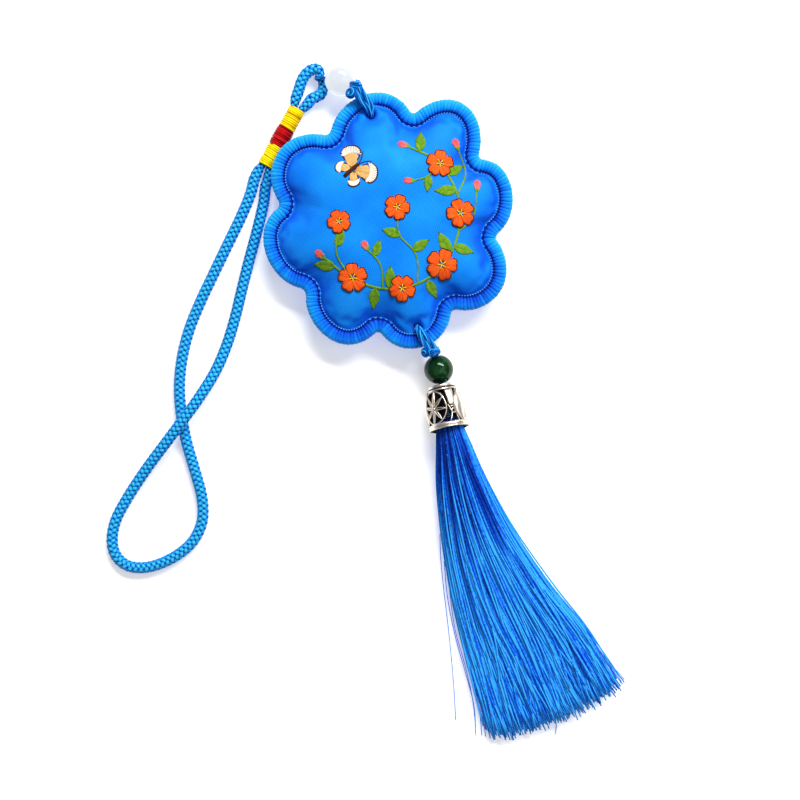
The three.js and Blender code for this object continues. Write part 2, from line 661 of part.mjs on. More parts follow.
// Tassel: locks of thread spread from a bound head and fan out where they lie on the surface.
const FAN = [
  { y: -57.0, x: 2.75, half: 2.9, low: 2.6, high: 7.6 },
  { y: -63.4, x: 2.45, half: 3.9, low: 3.5, high: 8.7 },
  { y: -68.0, x: 2.35, half: 5.3, low: 1.4, high: 9.8 },
  { y: -79.0, x: 2.1, half: 7.4, low: 0, high: 8.9 },
  { y: -96.0, x: 3.1, half: 10.4, low: 0, high: 7.6 },
  { y: -115.0, x: 6.1, half: 13.9, low: 0, high: 6.4 },
  { y: -133.0, x: 9.9, half: 17.2, low: 0, high: 5.5 },
  { y: -151.5, x: 13.2, half: 19.8, low: 0, high: 4.6 },
];
const LAYERS = [
  { locks: 6, height: 0.28, reach: 0.85 },
  { locks: 5, height: 0.7, reach: 0.78 },
];
const LOCK = { flatness: 0.28, overlap: 1.22 };
const END_SLANT = 4.4; // the right-hand locks end this much higher than the middle ones

function lock(place, height, reach, locks) {
  const across = new THREE.Vector3(1, 0, 0);
  const rings = FAN.map(({ y, x, half, low, high }, station) => {
    const shorter = station === FAN.length - 1 ? END_SLANT * place : 0;
    const centre = new THREE.Vector3(x + place * reach * half, y + shorter, low + height * (high - low));
    return ellipse(centre, UP, across, LOCK.flatness * (high - low), (LOCK.overlap * half) / locks, 6);
  });
  return loft(rings.toReversed());
}

function makeTassel() {
  const locks = LAYERS.flatMap(({ locks: count, height, reach }) =>
    Array.from({ length: count }, (_, index) => lock((2 * index) / (count - 1) - 1, height, reach, count)),
  );
  const head = new THREE.CylinderGeometry(TASSEL_HEAD_RADIUS - 0.6, TASSEL_HEAD_RADIUS, 6, 12);
  head.applyQuaternion(new THREE.Quaternion().setFromUnitVectors(new THREE.Vector3(0, -1, 0), HANG));
  head.translate(...onCapAxis(5.5).toArray());
  addPiece("tassel", join([head, ...locks]), FINISHES.tasselThread);
}

makeCushion();
makeEdge();
makeBindings();
makeNeck();
makeHangingCord();
makeUpperTie();
makeLowerTie();
makeCap();
makeTassel();

export default sachet;
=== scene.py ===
import math

import bmesh
import bpy
import numpy as np
from mathutils import Matrix, Vector
from mathutils.bvhtree import BVHTree


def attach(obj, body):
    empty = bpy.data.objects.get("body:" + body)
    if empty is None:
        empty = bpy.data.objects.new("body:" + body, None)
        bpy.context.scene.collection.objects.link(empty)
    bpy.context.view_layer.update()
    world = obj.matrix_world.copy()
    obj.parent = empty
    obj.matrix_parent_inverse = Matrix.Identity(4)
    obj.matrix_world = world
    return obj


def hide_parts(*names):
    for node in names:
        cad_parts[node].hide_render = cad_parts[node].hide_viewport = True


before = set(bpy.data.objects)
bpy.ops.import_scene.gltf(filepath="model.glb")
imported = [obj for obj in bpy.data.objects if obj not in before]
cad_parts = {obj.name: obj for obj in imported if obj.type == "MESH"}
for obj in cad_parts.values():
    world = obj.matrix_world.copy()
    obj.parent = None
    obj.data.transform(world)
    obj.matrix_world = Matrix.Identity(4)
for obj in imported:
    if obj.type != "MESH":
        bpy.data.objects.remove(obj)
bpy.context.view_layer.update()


# Stage: a pale floor under soft light from all round, seen from straight above.
# It isn't part of the sachet. The camera is turned so that the hanging cord leans to the left.
MM = 0.001
VIEW_POINT = (-9.6, -51.1)  # mm, what the middle of the picture shows
VIEW_WIDTH = 231.9  # mm, what the picture shows from side to side at the seam's height
VIEW_TURN = -13.5  # degrees
SEAM_Z = 6.8  # mm
LENS, SENSOR = 70.0, 36.0  # mm
FLOOR_HALF_WIDTH = 3.0  # m
FLOOR_Z = -0.05  # mm, just clear of the cushion's flat back
LAMP_AIM = Vector((-0.01, -0.05, 0))  # m
LAMPS = [
    # name, place in m, width and depth in m, watts
    ("window_light", (0.5, 0.72, 0.95), (1.1, 0.3), 24.0),
    ("room_light", (0.6, -0.3, 1.2), (0.9, 0.9), 3.0),
]
ROOM_BRIGHTNESS = 0.18


def srgb(code):
    """A six-digit sRGB hex colour as linear RGBA."""
    shares = [int(code[i : i + 2], 16) / 255 for i in (1, 3, 5)]
    return [c / 12.92 if c <= 0.04045 else ((c + 0.055) / 1.055) ** 2.4 for c in shares] + [1.0]


def finish_of(name, **surface):
    """A new material and its node tree, with the values that are the same all over."""
    material = bpy.data.materials.new(name)
    material.use_nodes = True
    shader = material.node_tree.nodes["Principled BSDF"]
    for socket, value in surface.items():
        shader.inputs[socket.replace("_", " ")].default_value = value
    return material, material.node_tree


def in_scene(name, data):
    """A new object with this mesh, lamp or camera, at the origin."""
    made = bpy.data.objects.new(name, data)
    bpy.context.collection.objects.link(made)
    return made


def mesh_of(name, bm):
    mesh = bpy.data.meshes.new(name)
    bm.to_mesh(mesh)
    bm.free()
    return mesh


camera = in_scene("camera", bpy.data.cameras.new("camera"))
camera.data.lens = LENS
camera.data.sensor_width = SENSOR
camera.data.clip_start = 0.01
camera.location = (VIEW_POINT[0] * MM, VIEW_POINT[1] * MM, (SEAM_Z + VIEW_WIDTH * LENS / SENSOR) * MM)
camera.rotation_euler = (0, 0, math.radians(VIEW_TURN))
bpy.context.scene.camera = camera
bpy.context.scene.view_settings.view_transform = "Standard"

bm = bmesh.new()
under = Matrix.Translation((0, 0, FLOOR_Z * MM))
bmesh.ops.create_grid(bm, x_segments=1, y_segments=1, size=FLOOR_HALF_WIDTH, matrix=under)
floor = in_scene("floor", mesh_of("floor", bm))
# Matt white paper: pale and even, with a weak glow, so that only soft contact shadows show on it.
floor_paper, _ = finish_of(
    "matt_white_paper",
    Base_Color=srgb("#f4f4f4"),
    Roughness=0.9,
    Emission_Color=srgb("#ffffff"),
    Emission_Strength=0.42,
)
floor.data.materials.append(floor_paper)

for lamp_name, place, (width, depth), watts in LAMPS:
    lamp = in_scene(lamp_name, bpy.data.lights.new(lamp_name, "AREA"))
    lamp.data.shape = "RECTANGLE"
    lamp.data.size, lamp.data.size_y = width, depth
    lamp.data.energy = watts
    lamp.location = place
    lamp.rotation_euler = (LAMP_AIM - Vector(place)).to_track_quat("-Z", "Y").to_euler()
world = bpy.data.worlds.new("soft_room")
world.use_nodes = True
world.node_tree.nodes["Background"].inputs["Color"].default_value = srgb("#ffffff")
world.node_tree.nodes["Background"].inputs["Strength"].default_value = ROOM_BRIGHTNESS
bpy.context.scene.world = world


# Hanging cord: a round braid of eight silky blue strands, one over and one under, on a core painted in deep
# shade.
# One length of it makes a big loop, which lies on the floor and crosses itself once, and a small
# loop. Both loops' ends are squeezed together inside the binding.
CORD_RADIUS = 1.75  # mm
BRAID_STRANDS = 4  # in each direction
BRAID_PITCH = 6.3  # mm along the cord for one turn of a strand
BRAID_MIDDLE = 1.2  # mm, radius that the strands weave about
BRAID_SWING = 0.27  # mm, how far a strand rises and sinks as it passes over and under
BRAID_CORE = 1.08  # mm, radius
BRAID_STEP = 0.24  # mm
STRAND_HALF_WIDTH, STRAND_HALF_THICKNESS = 0.54, 0.324  # mm
STRAND_SIDES, CORE_SIDES = 8, 10
CORD_FIBRES = 0.3  # mm
BINDING_MIDDLE = np.array([-25.4, 31.7, 0.0])
BINDING_TURN = math.radians(47.5)
ALONG = np.array([math.cos(BINDING_TURN), math.sin(BINDING_TURN), 0.0])
SIDE = np.array([ALONG[1], -ALONG[0], 0.0])
UP = np.array([0.0, 0.0, 1.0])

# The big loop's centre line in mm: down the outer strand and round on the floor, over itself, and back up.
DOWN_AND_ROUND = [
    (-35.65, 22.3), (-36.15, 21.65), (-38.3, 17.6), (-42.6, 11.7), (-48.4, 4.6), (-54.1, -2.4),
    (-59.8, -9.5), (-64.9, -16.7), (-68.8, -24.2), (-71.5, -32.0), (-72.9, -40.1), (-73.3, -48.4),
    (-72.9, -57.0), (-72.7, -65.0), (-74.2, -71.9), (-78.0, -76.9), (-83.1, -79.8), (-88.9, -81.3),
    (-94.3, -81.3), (-98.6, -79.6), (-101.1, -76.2), (-101.3, -71.7), (-99.0, -66.2),
]
OVER_ITSELF = [
    (-94.0, -60.4, 1.9), (-86.6, -53.6, 3.0), (-78.3, -46.9, 4.9), (-72.5, -42.2, 5.7),
    (-66.7, -37.2, 5.3), (-60.2, -30.5, 3.2), (-55.0, -23.3, 1.95),
]
BACK_UP = [
    (-50.7, -15.9), (-46.9, -8.4), (-43.0, -0.9), (-38.9, 6.6), (-35.2, 13.9), (-33.8, 17.6),
    (-33.25, 19.0), (-32.8, 19.65),
]
# The small loop's centre line: mm up the binding from its middle, to its right and above the floor, and
# its share of the cord's width. The tie draws it in to a waist beside the bead.
SMALL_LOOP = [
    (13.25, -2.1, 2.3, 1.0), (14.2, -2.2, 2.3, 1.0), (16.4, -2.7, 2.4, 1.0), (18.4, -2.9, 2.5, 1.0),
    (20.4, -2.5, 2.6, 1.0), (22.0, -1.5, 2.7, 1.0), (22.6, 0.0, 2.6, 0.9), (21.9, 1.1, 2.6, 0.66),
    (20.6, 1.6, 2.7, 0.49), (19.6, 2.6, 2.5, 0.66), (18.6, 3.5, 2.2, 0.88), (17.0, 3.9, 2.0, 1.0),
    (15.4, 3.1, 2.1, 1.0), (14.2, 2.2, 2.3, 1.0), (13.25, 2.1, 2.3, 1.0),
]
# The squeezed end of both strands: mm along the binding, to its right, apart and up, and share of the width.
LOWER_MOUTH = [
    (-7.6, 0.0, 0.75, 2.3, 0.45), (-9.3, 0.05, 1.0, 2.3, 0.6),
    (-10.8, 0.2, 1.45, 2.1, 0.8), (-12.2, 0.45, 1.8, 1.9, 0.96),
]
UPPER_MOUTH = [
    (7.6, 0.0, 0.75, 2.3, 0.45), (9.3, 0.0, 1.0, 2.3, 0.58),
    (10.5, 0.0, 1.4, 2.3, 0.76), (11.8, 0.0, 1.85, 2.3, 0.94),
]


def on_binding(along, side, z):
    return BINDING_MIDDLE + along * ALONG + side * SIDE + z * UP


def mouth(table, side):
    return [(*on_binding(along, middle + side * apart, z), share) for along, middle, apart, z, share in table]


def unit(vectors):
    return vectors / np.linalg.norm(vectors, axis=-1, keepdims=True)


def reach_along(line):
    """How far along a line each of its points lies."""
    return np.concatenate([[0], np.cumsum(np.linalg.norm(np.diff(line, axis=0), axis=1))])


def smooth_line(points, step):
    """Points about a step apart on a smooth curve through the given ones, with any extra columns."""
    points = np.asarray(points, float)
    padded = np.concatenate([2 * points[:1] - points[1:2], points, 2 * points[-1:] - points[-2:-1]])
    share = np.linspace(0, 1, 24, endpoint=False)[:, None]
    pieces = []
    for a, b, c, d in zip(padded, padded[1:], padded[2:], padded[3:]):
        cubic = (3 * (b - c) + d - a) * share**3 + (2 * a - 5 * b + 4 * c - d) * share**2 + (c - a) * share
        pieces.append(b + cubic / 2)
    dense = np.concatenate([*pieces, padded[-2][None]])
    reach = reach_along(dense[:, :3])
    even = np.linspace(0, reach[-1], max(2, round(reach[-1] / step)) + 1)
    return np.stack([np.interp(even, reach, column) for column in dense.T], axis=1)


def frames_of(lines, outward=None, closed=False):
    """Outward and sideways directions, square to lines[thread, step]."""
    tangent = unit(np.roll(lines, -1, 1) - np.roll(lines, 1, 1) if closed else np.gradient(lines, axis=1))
    if outward is None:
        outward = np.empty_like(lines)
        outward[:, 0] = np.where(np.abs(tangent[:, 0, 2:]) < 0.9, UP, np.array([1.0, 0.0, 0.0]))
        for step in range(1, lines.shape[1]):
            along, before = tangent[:, step], outward[:, step - 1]
            outward[:, step] = unit(before - np.sum(before * along, axis=1, keepdims=True) * along)
    outward = unit(outward - np.sum(outward * tangent, axis=-1, keepdims=True) * tangent)
    return outward, np.cross(tangent, outward)


def square_to(line, angle):
    """Directions square to a line[step], at angle[thread, step] round it."""
    out, across = frames_of(line[None])
    return np.cos(angle)[..., None] * out[0] + np.sin(angle)[..., None] * across[0]


def crown_of(sides):
    """How far each corner of a thread with so many sides faces outward, from -1 to 1."""
    return np.cos(2 * np.pi * (np.arange(sides) + 0.5) / sides)


def spun(lines, half_width, sides, half_thickness=None, outward=None, closed=False):
    """Vertices and faces of threads along lines[thread, step], each one a tube with closed ends, or
    a ring. The half width lies across the outward direction, and the half thickness along it."""
    threads, steps, _ = lines.shape
    out, across = frames_of(lines, outward, closed)
    halves = (half_width, half_width if half_thickness is None else half_thickness)
    width, thick = (np.broadcast_to(half, (threads, steps))[..., None, None] for half in halves)
    angle = 2 * np.pi * (np.arange(sides) + 0.5) / sides
    rings = (
        lines[:, :, None]
        + thick * np.cos(angle)[:, None] * out[:, :, None]
        + width * np.sin(angle)[:, None] * across[:, :, None]
    )
    index = np.arange(threads * steps * sides).reshape(threads, steps, sides)
    here, ahead = (index, np.roll(index, -1, 1)) if closed else (index[:, :-1], index[:, 1:])
    quads = np.stack([here, np.roll(here, -1, 2), np.roll(ahead, -1, 2), ahead], axis=-1).reshape(-1, 4)
    caps = [] if closed else np.concatenate([index[:, 0, ::-1], index[:, -1]]).tolist()
    return rings.reshape(-1, 3), quads.tolist() + caps


def dressed(name, mesh, material):
    """A smooth piece of this mesh and material, which moves with the sachet."""
    mesh.polygons.foreach_set("use_smooth", [True] * len(mesh.polygons))
    mesh.materials.append(material)
    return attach(in_scene(name, mesh), "root")


def piece_of(name, parts, material, tones):
    """One piece from several (vertices in mm, faces) parts, each with one tone or one for each vertex."""
    faces, start = [], 0
    for part_verts, part_faces in parts:
        faces += [[start + corner for corner in face] for face in part_faces]
        start += len(part_verts)
    mesh = bpy.data.meshes.new(name)
    mesh.from_pydata((np.concatenate([part[0] for part in parts]) * MM).tolist(), [], faces)
    column = np.concatenate([np.broadcast_to(tone, len(part[0])) for tone, part in zip(tones, parts)])
    mesh.attributes.new("tone", "FLOAT", "POINT").data.foreach_set("value", column.astype(np.float32))
    return dressed(name, mesh, material)


def braid(line):
    """Strands and core of the braid along a centre line in mm whose fourth column is the squeeze, and their
    tones. Painted light and shade: a strand is painted brightest where it passes over another and faces up,
    darker at its sides, and the core is painted in deep shade."""
    route, squeeze = line[:, :3], line[:, 3]
    reach = reach_along(route)
    number = np.arange(BRAID_STRANDS)[:, None]
    parts, tones = [], []
    for hand in (1, -1):
        lift = hand * np.cos(2 * np.pi * BRAID_STRANDS * reach / BRAID_PITCH)
        angle = 2 * np.pi * ((number + 0.25) / BRAID_STRANDS + hand * reach / BRAID_PITCH)
        radial = square_to(route, angle)
        strands = route + ((BRAID_MIDDLE + BRAID_SWING * lift) * squeeze)[:, None] * radial
        halves = (STRAND_HALF_WIDTH * squeeze, STRAND_HALF_THICKNESS * squeeze)
        parts.append(spun(strands, halves[0], STRAND_SIDES, halves[1], radial))
        # Painted light: brighter where the strand rises over another and where it faces up, darker at its
        # sides.
        strand_painted_light = (0.5 + 0.5 * lift) * (0.6 + 0.4 * np.maximum(radial[..., 2], 0))
        tones.append((strand_painted_light[..., None] * (0.6 + 0.4 * crown_of(STRAND_SIDES))).ravel())
    # Painted shade: the core gets the deepest tone, where it shows between the strands.
    parts.append(spun(route[None], BRAID_CORE * squeeze, CORE_SIDES))
    tones.append(0.0)
    return parts, tones


def node(tree, kind, inputs=None, stops=None, out=0, to=(), **settings):
    """Adds a node and gives its first output, or the one asked for, which it also links to the shader's
    named sockets. Each input is a value, or the output that feeds it."""
    made = tree.nodes.new("ShaderNode" + kind)
    for name, value in settings.items():
        setattr(made, name, value)
    for name, value in (inputs or {}).items():
        if isinstance(value, bpy.types.NodeSocket):
            tree.links.new(value, made.inputs[name])
        else:
            made.inputs[name].default_value = value
    for stop, (place, code) in enumerate(stops or []):
        element = made.color_ramp.elements[stop] if stop < 2 else made.color_ramp.elements.new(place)
        element.position = place
        element.color = srgb(code)
    for socket in to:
        tree.links.new(made.outputs[out], tree.nodes["Principled BSDF"].inputs[socket])
    return made.outputs[out]


# Silky polyester thread: painted light where a strand stands proud, painted shade in deep blue in the
# crossings, with fine fibres that break up the shine. Fibres are about 0.12 mm apart, drawn at 0.3 mm so that
# they show.
silky_cord, tree = finish_of(
    "braided_blue_thread",
    Roughness=0.36,
    Specular_IOR_Level=0.2,
    Specular_Tint=srgb("#8fd8ff"),
)
tone = node(tree, "Attribute", out="Fac", attribute_name="tone")
where = node(tree, "TexCoord", out="Object")
fibres = node(tree, "TexNoise", {"Vector": where, "Scale": 1 / (CORD_FIBRES * MM), "Detail": 3.0})
cord_blues = [(0.1, "#032686"), (0.34, "#045ecc"), (0.56, "#0c98f6"), (0.9, "#48d6ff")]
blues = node(tree, "ValToRGB", {"Fac": tone}, cord_blues)
fleck = node(tree, "ValToRGB", {"Fac": fibres}, [(0.3, "#8a8a8a"), (0.7, "#ffffff")])
darkened = {"data_type": "RGBA", "blend_type": "MULTIPLY"}
node(tree, "Mix", {0: 0.5, 6: blues, 7: fleck}, out=2, to=["Base Color"], **darkened)
node(tree, "Bump", {"Strength": 0.35, "Distance": 0.1 * MM, "Height": fibres}, to=["Normal"])

outer, inner = ([(*place, CORD_RADIUS) for place in run] for run in (DOWN_AND_ROUND, BACK_UP))
big_loop = [(*point, 1.0) for point in outer + OVER_ITSELF + inner]
big_line = smooth_line(mouth(LOWER_MOUTH, -1) + big_loop + mouth(LOWER_MOUTH, 1)[::-1], BRAID_STEP)
parts, tones = braid(big_line)
big_cord = piece_of("big_cord_loop", parts, silky_cord, tones)
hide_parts("big_loop")

small_loop = [(*on_binding(along, side, z), share) for along, side, z, share in SMALL_LOOP]
small_line = smooth_line(mouth(UPPER_MOUTH, -1) + small_loop + mouth(UPPER_MOUTH, 1)[::-1], BRAID_STEP)
parts, tones = braid(small_line)
small_cord = piece_of("small_cord_loop", parts, silky_cord, tones)
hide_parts("small_loop", "cord_neck")


# Binding: three bands of thread wound tight round both strands, yellow, red and yellow.
# Each band is one thread in close turns, and the red one swells a little over the yellow ends.
WIND_HALF_WIDTH, WIND_HALF_HEIGHT = 2.55, 2.1  # mm
WIND_MIDDLE = BINDING_MIDDLE + (WIND_HALF_HEIGHT + 0.2) * UP  # a little clear of the floor
WIND_THREAD = 0.34  # mm, radius
WIND_PITCH = 0.63  # mm
WIND_STEPS = 26  # to a turn
WIND_SIDES, WOUND_CORE_SIDES = 8, 20
WIND_SLACK = 0.09  # mm that a half turn lies out of its place
# Painted light and shade: a turn is painted brighter on its crown and darker on the side towards the cushion,
# and the core that shows between the turns is painted in deep shade. The tone also differs at random from
# turn to turn.
WIND_UNEVEN, WIND_PAINTED_SHADE = 0.2, 0.34  # in tone: from turn to turn, and on the side towards the cushion
WIND_TONE, WIND_PAINTED_CROWN_LIGHT, WOUND_CORE_PAINTED_SHADE = 0.45, 0.5, 0.25  # a turn's tone, its rise to the crown, the core
YELLOWS = ("#c05a06", "#f0be08", "#fcec18")  # deep, body and bright colour
REDS = ("#240205", "#92090f", "#d81c22")
BANDS = [
    # end of the names, mm along the binding from and to, swell, slot and colours
    ("lower", -9.5, -3.0, 0.0, "yellow_thread", YELLOWS),
    ("middle", -3.0, 3.0, 0.2, "red_thread", REDS),
    ("upper", 3.0, 9.5, 0.0, "yellow_thread", YELLOWS),
]


def silky_thread(
    name, colours, places=(0.0, 0.5, 1.0), fibre=0.4, detail=2.0, fleck=0.5, ridge=0.3, **surface
):
    """Silky polyester thread: painted highlights on the crowns of the strands and painted shade between them,
    from their tone, with a shine in the thread's own colour. Fibres are about 0.12 mm apart, drawn coarser so
    that they show."""
    own = {"Roughness": 0.4, "Specular_IOR_Level": 0.3, "Specular_Tint": srgb(colours[-1])}
    material, tree = finish_of(name, **{**own, **surface})
    tone = node(tree, "Attribute", out="Fac", attribute_name="tone")
    where = node(tree, "TexCoord", out="Object")
    fibres = node(tree, "TexNoise", {"Vector": where, "Scale": 1 / (fibre * MM), "Detail": detail})
    mixed = node(tree, "Math", {0: fibres, 1: fleck, 2: tone}, operation="MULTIPLY_ADD")
    lowered = node(tree, "Math", {0: mixed, 1: fleck / 2}, operation="SUBTRACT")
    node(tree, "ValToRGB", {"Fac": lowered}, list(zip(places, colours)), to=["Base Color"])
    node(tree, "Bump", {"Strength": ridge, "Distance": 0.1 * MM, "Height": fibres}, to=["Normal"])
    return material


thread_finishes = {}
chance = np.random.default_rng(3)
for end, start, stop, swell, slot, colours in BANDS:
    if slot not in thread_finishes:
        thread_finishes[slot] = silky_thread("wound_" + slot, colours)
    turns = (stop - start) / WIND_PITCH
    share = np.linspace(0, 1, int(turns * WIND_STEPS))[:, None]
    angle = 2 * np.pi * turns * share
    bulge = swell * np.sin(np.pi * share) ** 0.5 - WIND_THREAD
    slack = chance.normal(0, WIND_SLACK, math.ceil(2 * turns + 1))
    slack = np.interp(2 * turns * share, np.arange(2 * turns + 1), slack) * np.sin(np.pi * share) ** 0.3
    along = start + WIND_THREAD / 2 + (stop - start - WIND_THREAD) * share + slack
    across = (WIND_HALF_WIDTH + bulge) * np.cos(angle) * SIDE
    outward = across + (WIND_HALF_HEIGHT + bulge) * np.sin(angle) * UP
    line = WIND_MIDDLE + along * ALONG + outward
    wound = spun(line[None], WIND_THREAD, WIND_SIDES, outward=unit(outward)[None])
    uneven = chance.normal(0, WIND_UNEVEN, math.ceil(turns + 1))
    uneven = np.interp(turns * share, np.arange(turns + 1), uneven)
    # Painted shade on the side towards the cushion.
    uneven = uneven - WIND_PAINTED_SHADE * np.clip(np.cos(angle), 0, 1)
    middle = WIND_MIDDLE + np.linspace(start, stop, 4)[:, None] * ALONG
    core_halves = (WIND_HALF_WIDTH - WIND_THREAD, WIND_HALF_HEIGHT - WIND_THREAD)
    core = spun(middle[None], core_halves[0], WOUND_CORE_SIDES, core_halves[1], UP)
    # Painted highlight on each turn's crown, and the core in painted shade.
    tones = [(WIND_TONE + WIND_PAINTED_CROWN_LIGHT * crown_of(WIND_SIDES) + uneven).ravel(), WOUND_CORE_PAINTED_SHADE]
    band = piece_of("wound_band_" + end, [wound, core], thread_finishes[slot], tones)
    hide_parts("binding_" + end)


# Cushion: two pieces of blue satin weave, sewn together round their rims and stuffed until taut.
# The front domes up and the back is flattened by what it lies on. Two eyelets go through both.
LOBES = 8
HALF_LOBE = math.pi / LOBES
LOBE_CENTRE = 25.66  # mm, from the cushion's middle to the centre of a lobe's arc
LOBE_RADIUS = 12.34
LOBE_SWEEP = math.radians(67.3)
NOTCH_CENTRE = 33.6  # mm, from the cushion's middle to the centre of a notch's hollow arc
NOTCH_FILLET = 1.6
EDGE_MIDDLE = 2.05  # mm, from the edge's outer side to the middle of its thread
DOME_INSET = 4.45  # mm, where the cloth starts to rise
SEWN_INSET = 2.35  # mm, where both pieces meet
FRONT_RIM_Z, BACK_RIM_Z = 7.95, 5.65
FRONT_RISE, BACK_DROP = 6.65, 7.0
PUFF_BREADTH, PUFF_FULLNESS = 2.4, 0.75  # powers that shape the dome: flat on top, steep at the rim
FLANGE_SHARE = 0.12  # of the grid's half width, for the flat rim
TURNED_IN = 0.7  # share of the flat rim after which both pieces turn in to the seam
CELLS = 80  # grid cells across the cushion
EYELETS = [(1.5, 31.0), (0.3, -32.0)]
EYELET_RADIUS = {True: 1.35, False: 0.75}  # mm, in the front and in the back
EYELET_DIP = {True: 0.5, False: -0.3}  # mm that its lip is drawn in
EYELET_REACH = 4.0  # mm, how far the cloth is pushed aside
EYELET_SHIFT = 3.0  # mm, how far the cloth shifts to have a thread crossing at the eyelet's middle
EYELET_HELD = 1.8 * EYELET_RADIUS[True]  # mm, the cloth that the tie holds down
STUFFING_FRAMES = 24
STUFFING_SCALE = 10.0  # the cloth is simulated ten times as large, where its solver is steady
STUFFING_LIMIT = 1.0  # mm that a point may move
SEWN_MARGIN = 0.2  # mm of the dome's foot that the seam holds
PUCKERS = [(37, 0.6, 0.4), (53, 0.8, 2.1), (71, 0.6, 4.4), (96, 0.35, 1.0)]  # waves round, share and phase
PUCKER_HEIGHT = {True: 0.13, False: -0.052}  # mm, in the front and in the back
PUCKER_REACH = 0.08  # share of the dome over which they fade
# Hand sewing leaves the flower uneven. From +X round to the left, how many degrees each lobe, and the notch
# after it, is turned from its even place, and how many mm further out it reaches.
SEWN = [
    # lobe's turn and reach, notch's turn and reach
    (3.0, -1.7, -0.5, -0.4), (-0.5, 1.9, -2.5, -0.1), (-4.5, -0.5, 0.0, -1.0), (0.5, 0.3, 1.0, 0.8),
    (-1.0, -0.4, 3.0, 0.4), (6.0, 0.7, 2.5, 0.6), (0.0, -0.2, -1.5, -0.3), (-1.0, -0.2, 0.0, -1.2),
]


def sew(points, outs):
    """Moves points of the even flower, and the directions out of it, to where the sewing has them."""
    knots = np.array(SEWN).reshape(-1, 2)
    place = np.arctan2(points[:, 1], points[:, 0]) / HALF_LOBE % len(knots)
    before = np.floor(place).astype(int) % len(knots)
    after = (before + 1) % len(knots)
    share = (place % 1)[:, None]
    turn, reach = (knots[before] + (knots[after] - knots[before]) * share**2 * (3 - 2 * share)).T
    grown = points * (1 + reach / np.hypot(points[:, 0], points[:, 1]))[:, None]
    cos, sin = np.cos(np.radians(turn)), np.sin(np.radians(turn))
    return [np.stack([cos * x - sin * y, sin * x + cos * y, z], axis=1) for x, y, z in (grown.T, outs.T)]


def outline(count):
    """Points spaced evenly along the middle of the edge, and the directions out of the cushion."""
    points, outs = [], []
    for lobe in range(LOBES):
        axis = 2 * HALF_LOBE * lobe
        turns = [axis - LOBE_SWEEP, axis + LOBE_SWEEP, axis + 2 * HALF_LOBE - LOBE_SWEEP]
        for turn_from, turn_to, bearing, centre, radius in (
            (turns[0], turns[1], axis, LOBE_CENTRE, LOBE_RADIUS - EDGE_MIDDLE),
            (turns[1], turns[2], axis + HALF_LOBE, NOTCH_CENTRE, -NOTCH_FILLET - EDGE_MIDDLE),
        ):
            turn = np.linspace(turn_from, turn_to, 60, endpoint=False)
            out = np.stack([np.cos(turn), np.sin(turn), 0 * turn], axis=1)
            outs.append(out)
            points.append(centre * np.array([math.cos(bearing), math.sin(bearing), 0]) + radius * out)
    points, outs = sew(np.concatenate(points + [points[0][:1]]), np.concatenate(outs + [outs[0][:1]]))
    reach = reach_along(points)
    even = np.arange(count) / count * reach[-1]
    points, outs = (np.stack([np.interp(even, reach, c) for c in a.T], axis=1) for a in (points, outs))
    return points, unit(outs)


def flower_reach(bearing, inset):
    """How far the outline lies from the middle, seen at a bearing and set in from the outer side."""
    points, outs = outline(1600)
    x, y, _ = (points + outs * (EDGE_MIDDLE - inset)).T
    return np.interp(bearing, np.arctan2(y, x), np.hypot(x, y), period=2 * np.pi)


def puff(share):
    return np.clip(1 - share**PUFF_BREADTH, 0, 1) ** PUFF_FULLNESS


bm = bmesh.new()
halves = []
for front in (True, False):
    made = bmesh.ops.create_grid(bm, x_segments=CELLS, y_segments=CELLS, size=1)["verts"]
    halves.append((front, made))
    x, y = np.array([v.co[:2] for v in made]).T
    across, upward = x * np.sqrt(1 - y**2 / 2), y * np.sqrt(1 - x**2 / 2)
    share, bearing = np.hypot(across, upward), np.arctan2(upward, across)
    dome = np.minimum(share / (1 - FLANGE_SHARE), 1)
    rim = np.clip((share - 1 + FLANGE_SHARE) / FLANGE_SHARE, 0, 1)
    at_dome = flower_reach(bearing, DOME_INSET)
    away = dome * (at_dome.mean() * (1 - dome**2) + at_dome * dome**2)
    away += rim * (flower_reach(bearing, SEWN_INSET) - at_dome)
    if front:
        z = FRONT_RIM_Z + FRONT_RISE * puff(dome)
    else:
        z = np.maximum(0, BACK_RIM_Z - BACK_DROP * puff(dome))
    z += np.clip((rim - TURNED_IN) / (1 - TURNED_IN), 0, 1) * (SEAM_Z - z)
    waves = sum(size * np.cos(count * bearing + phase) for count, size, phase in PUCKERS)
    z += PUCKER_HEIGHT[front] * waves * np.exp((dome - 1) / PUCKER_REACH) * (rim < 0.05)
    place = np.stack([away * np.cos(bearing), away * np.sin(bearing), z], axis=1)
    hole = EYELET_RADIUS[front]
    for eyelet in EYELETS:
        offset = place[:, :2] - eyelet
        nearest = np.argmin(np.hypot(*offset.T))
        shifting = np.exp(-np.sum(offset**2, axis=1) / EYELET_SHIFT**2)
        offset = offset - offset[nearest] * shifting[:, None]
        distance = np.hypot(*offset.T)
        pushed = hole + distance * (EYELET_REACH - hole) / EYELET_REACH
        spread = np.where(distance < EYELET_REACH, pushed, distance)
        place[:, :2] = eyelet + offset * (spread / np.maximum(distance, 1e-6))[:, None]
    for vert, co in zip(made, place):
        vert.co = co * MM
        vert.tag = not front
back_faces = [face for face in bm.faces if all(v.tag for v in face.verts)]
bmesh.ops.reverse_faces(bm, faces=back_faces)
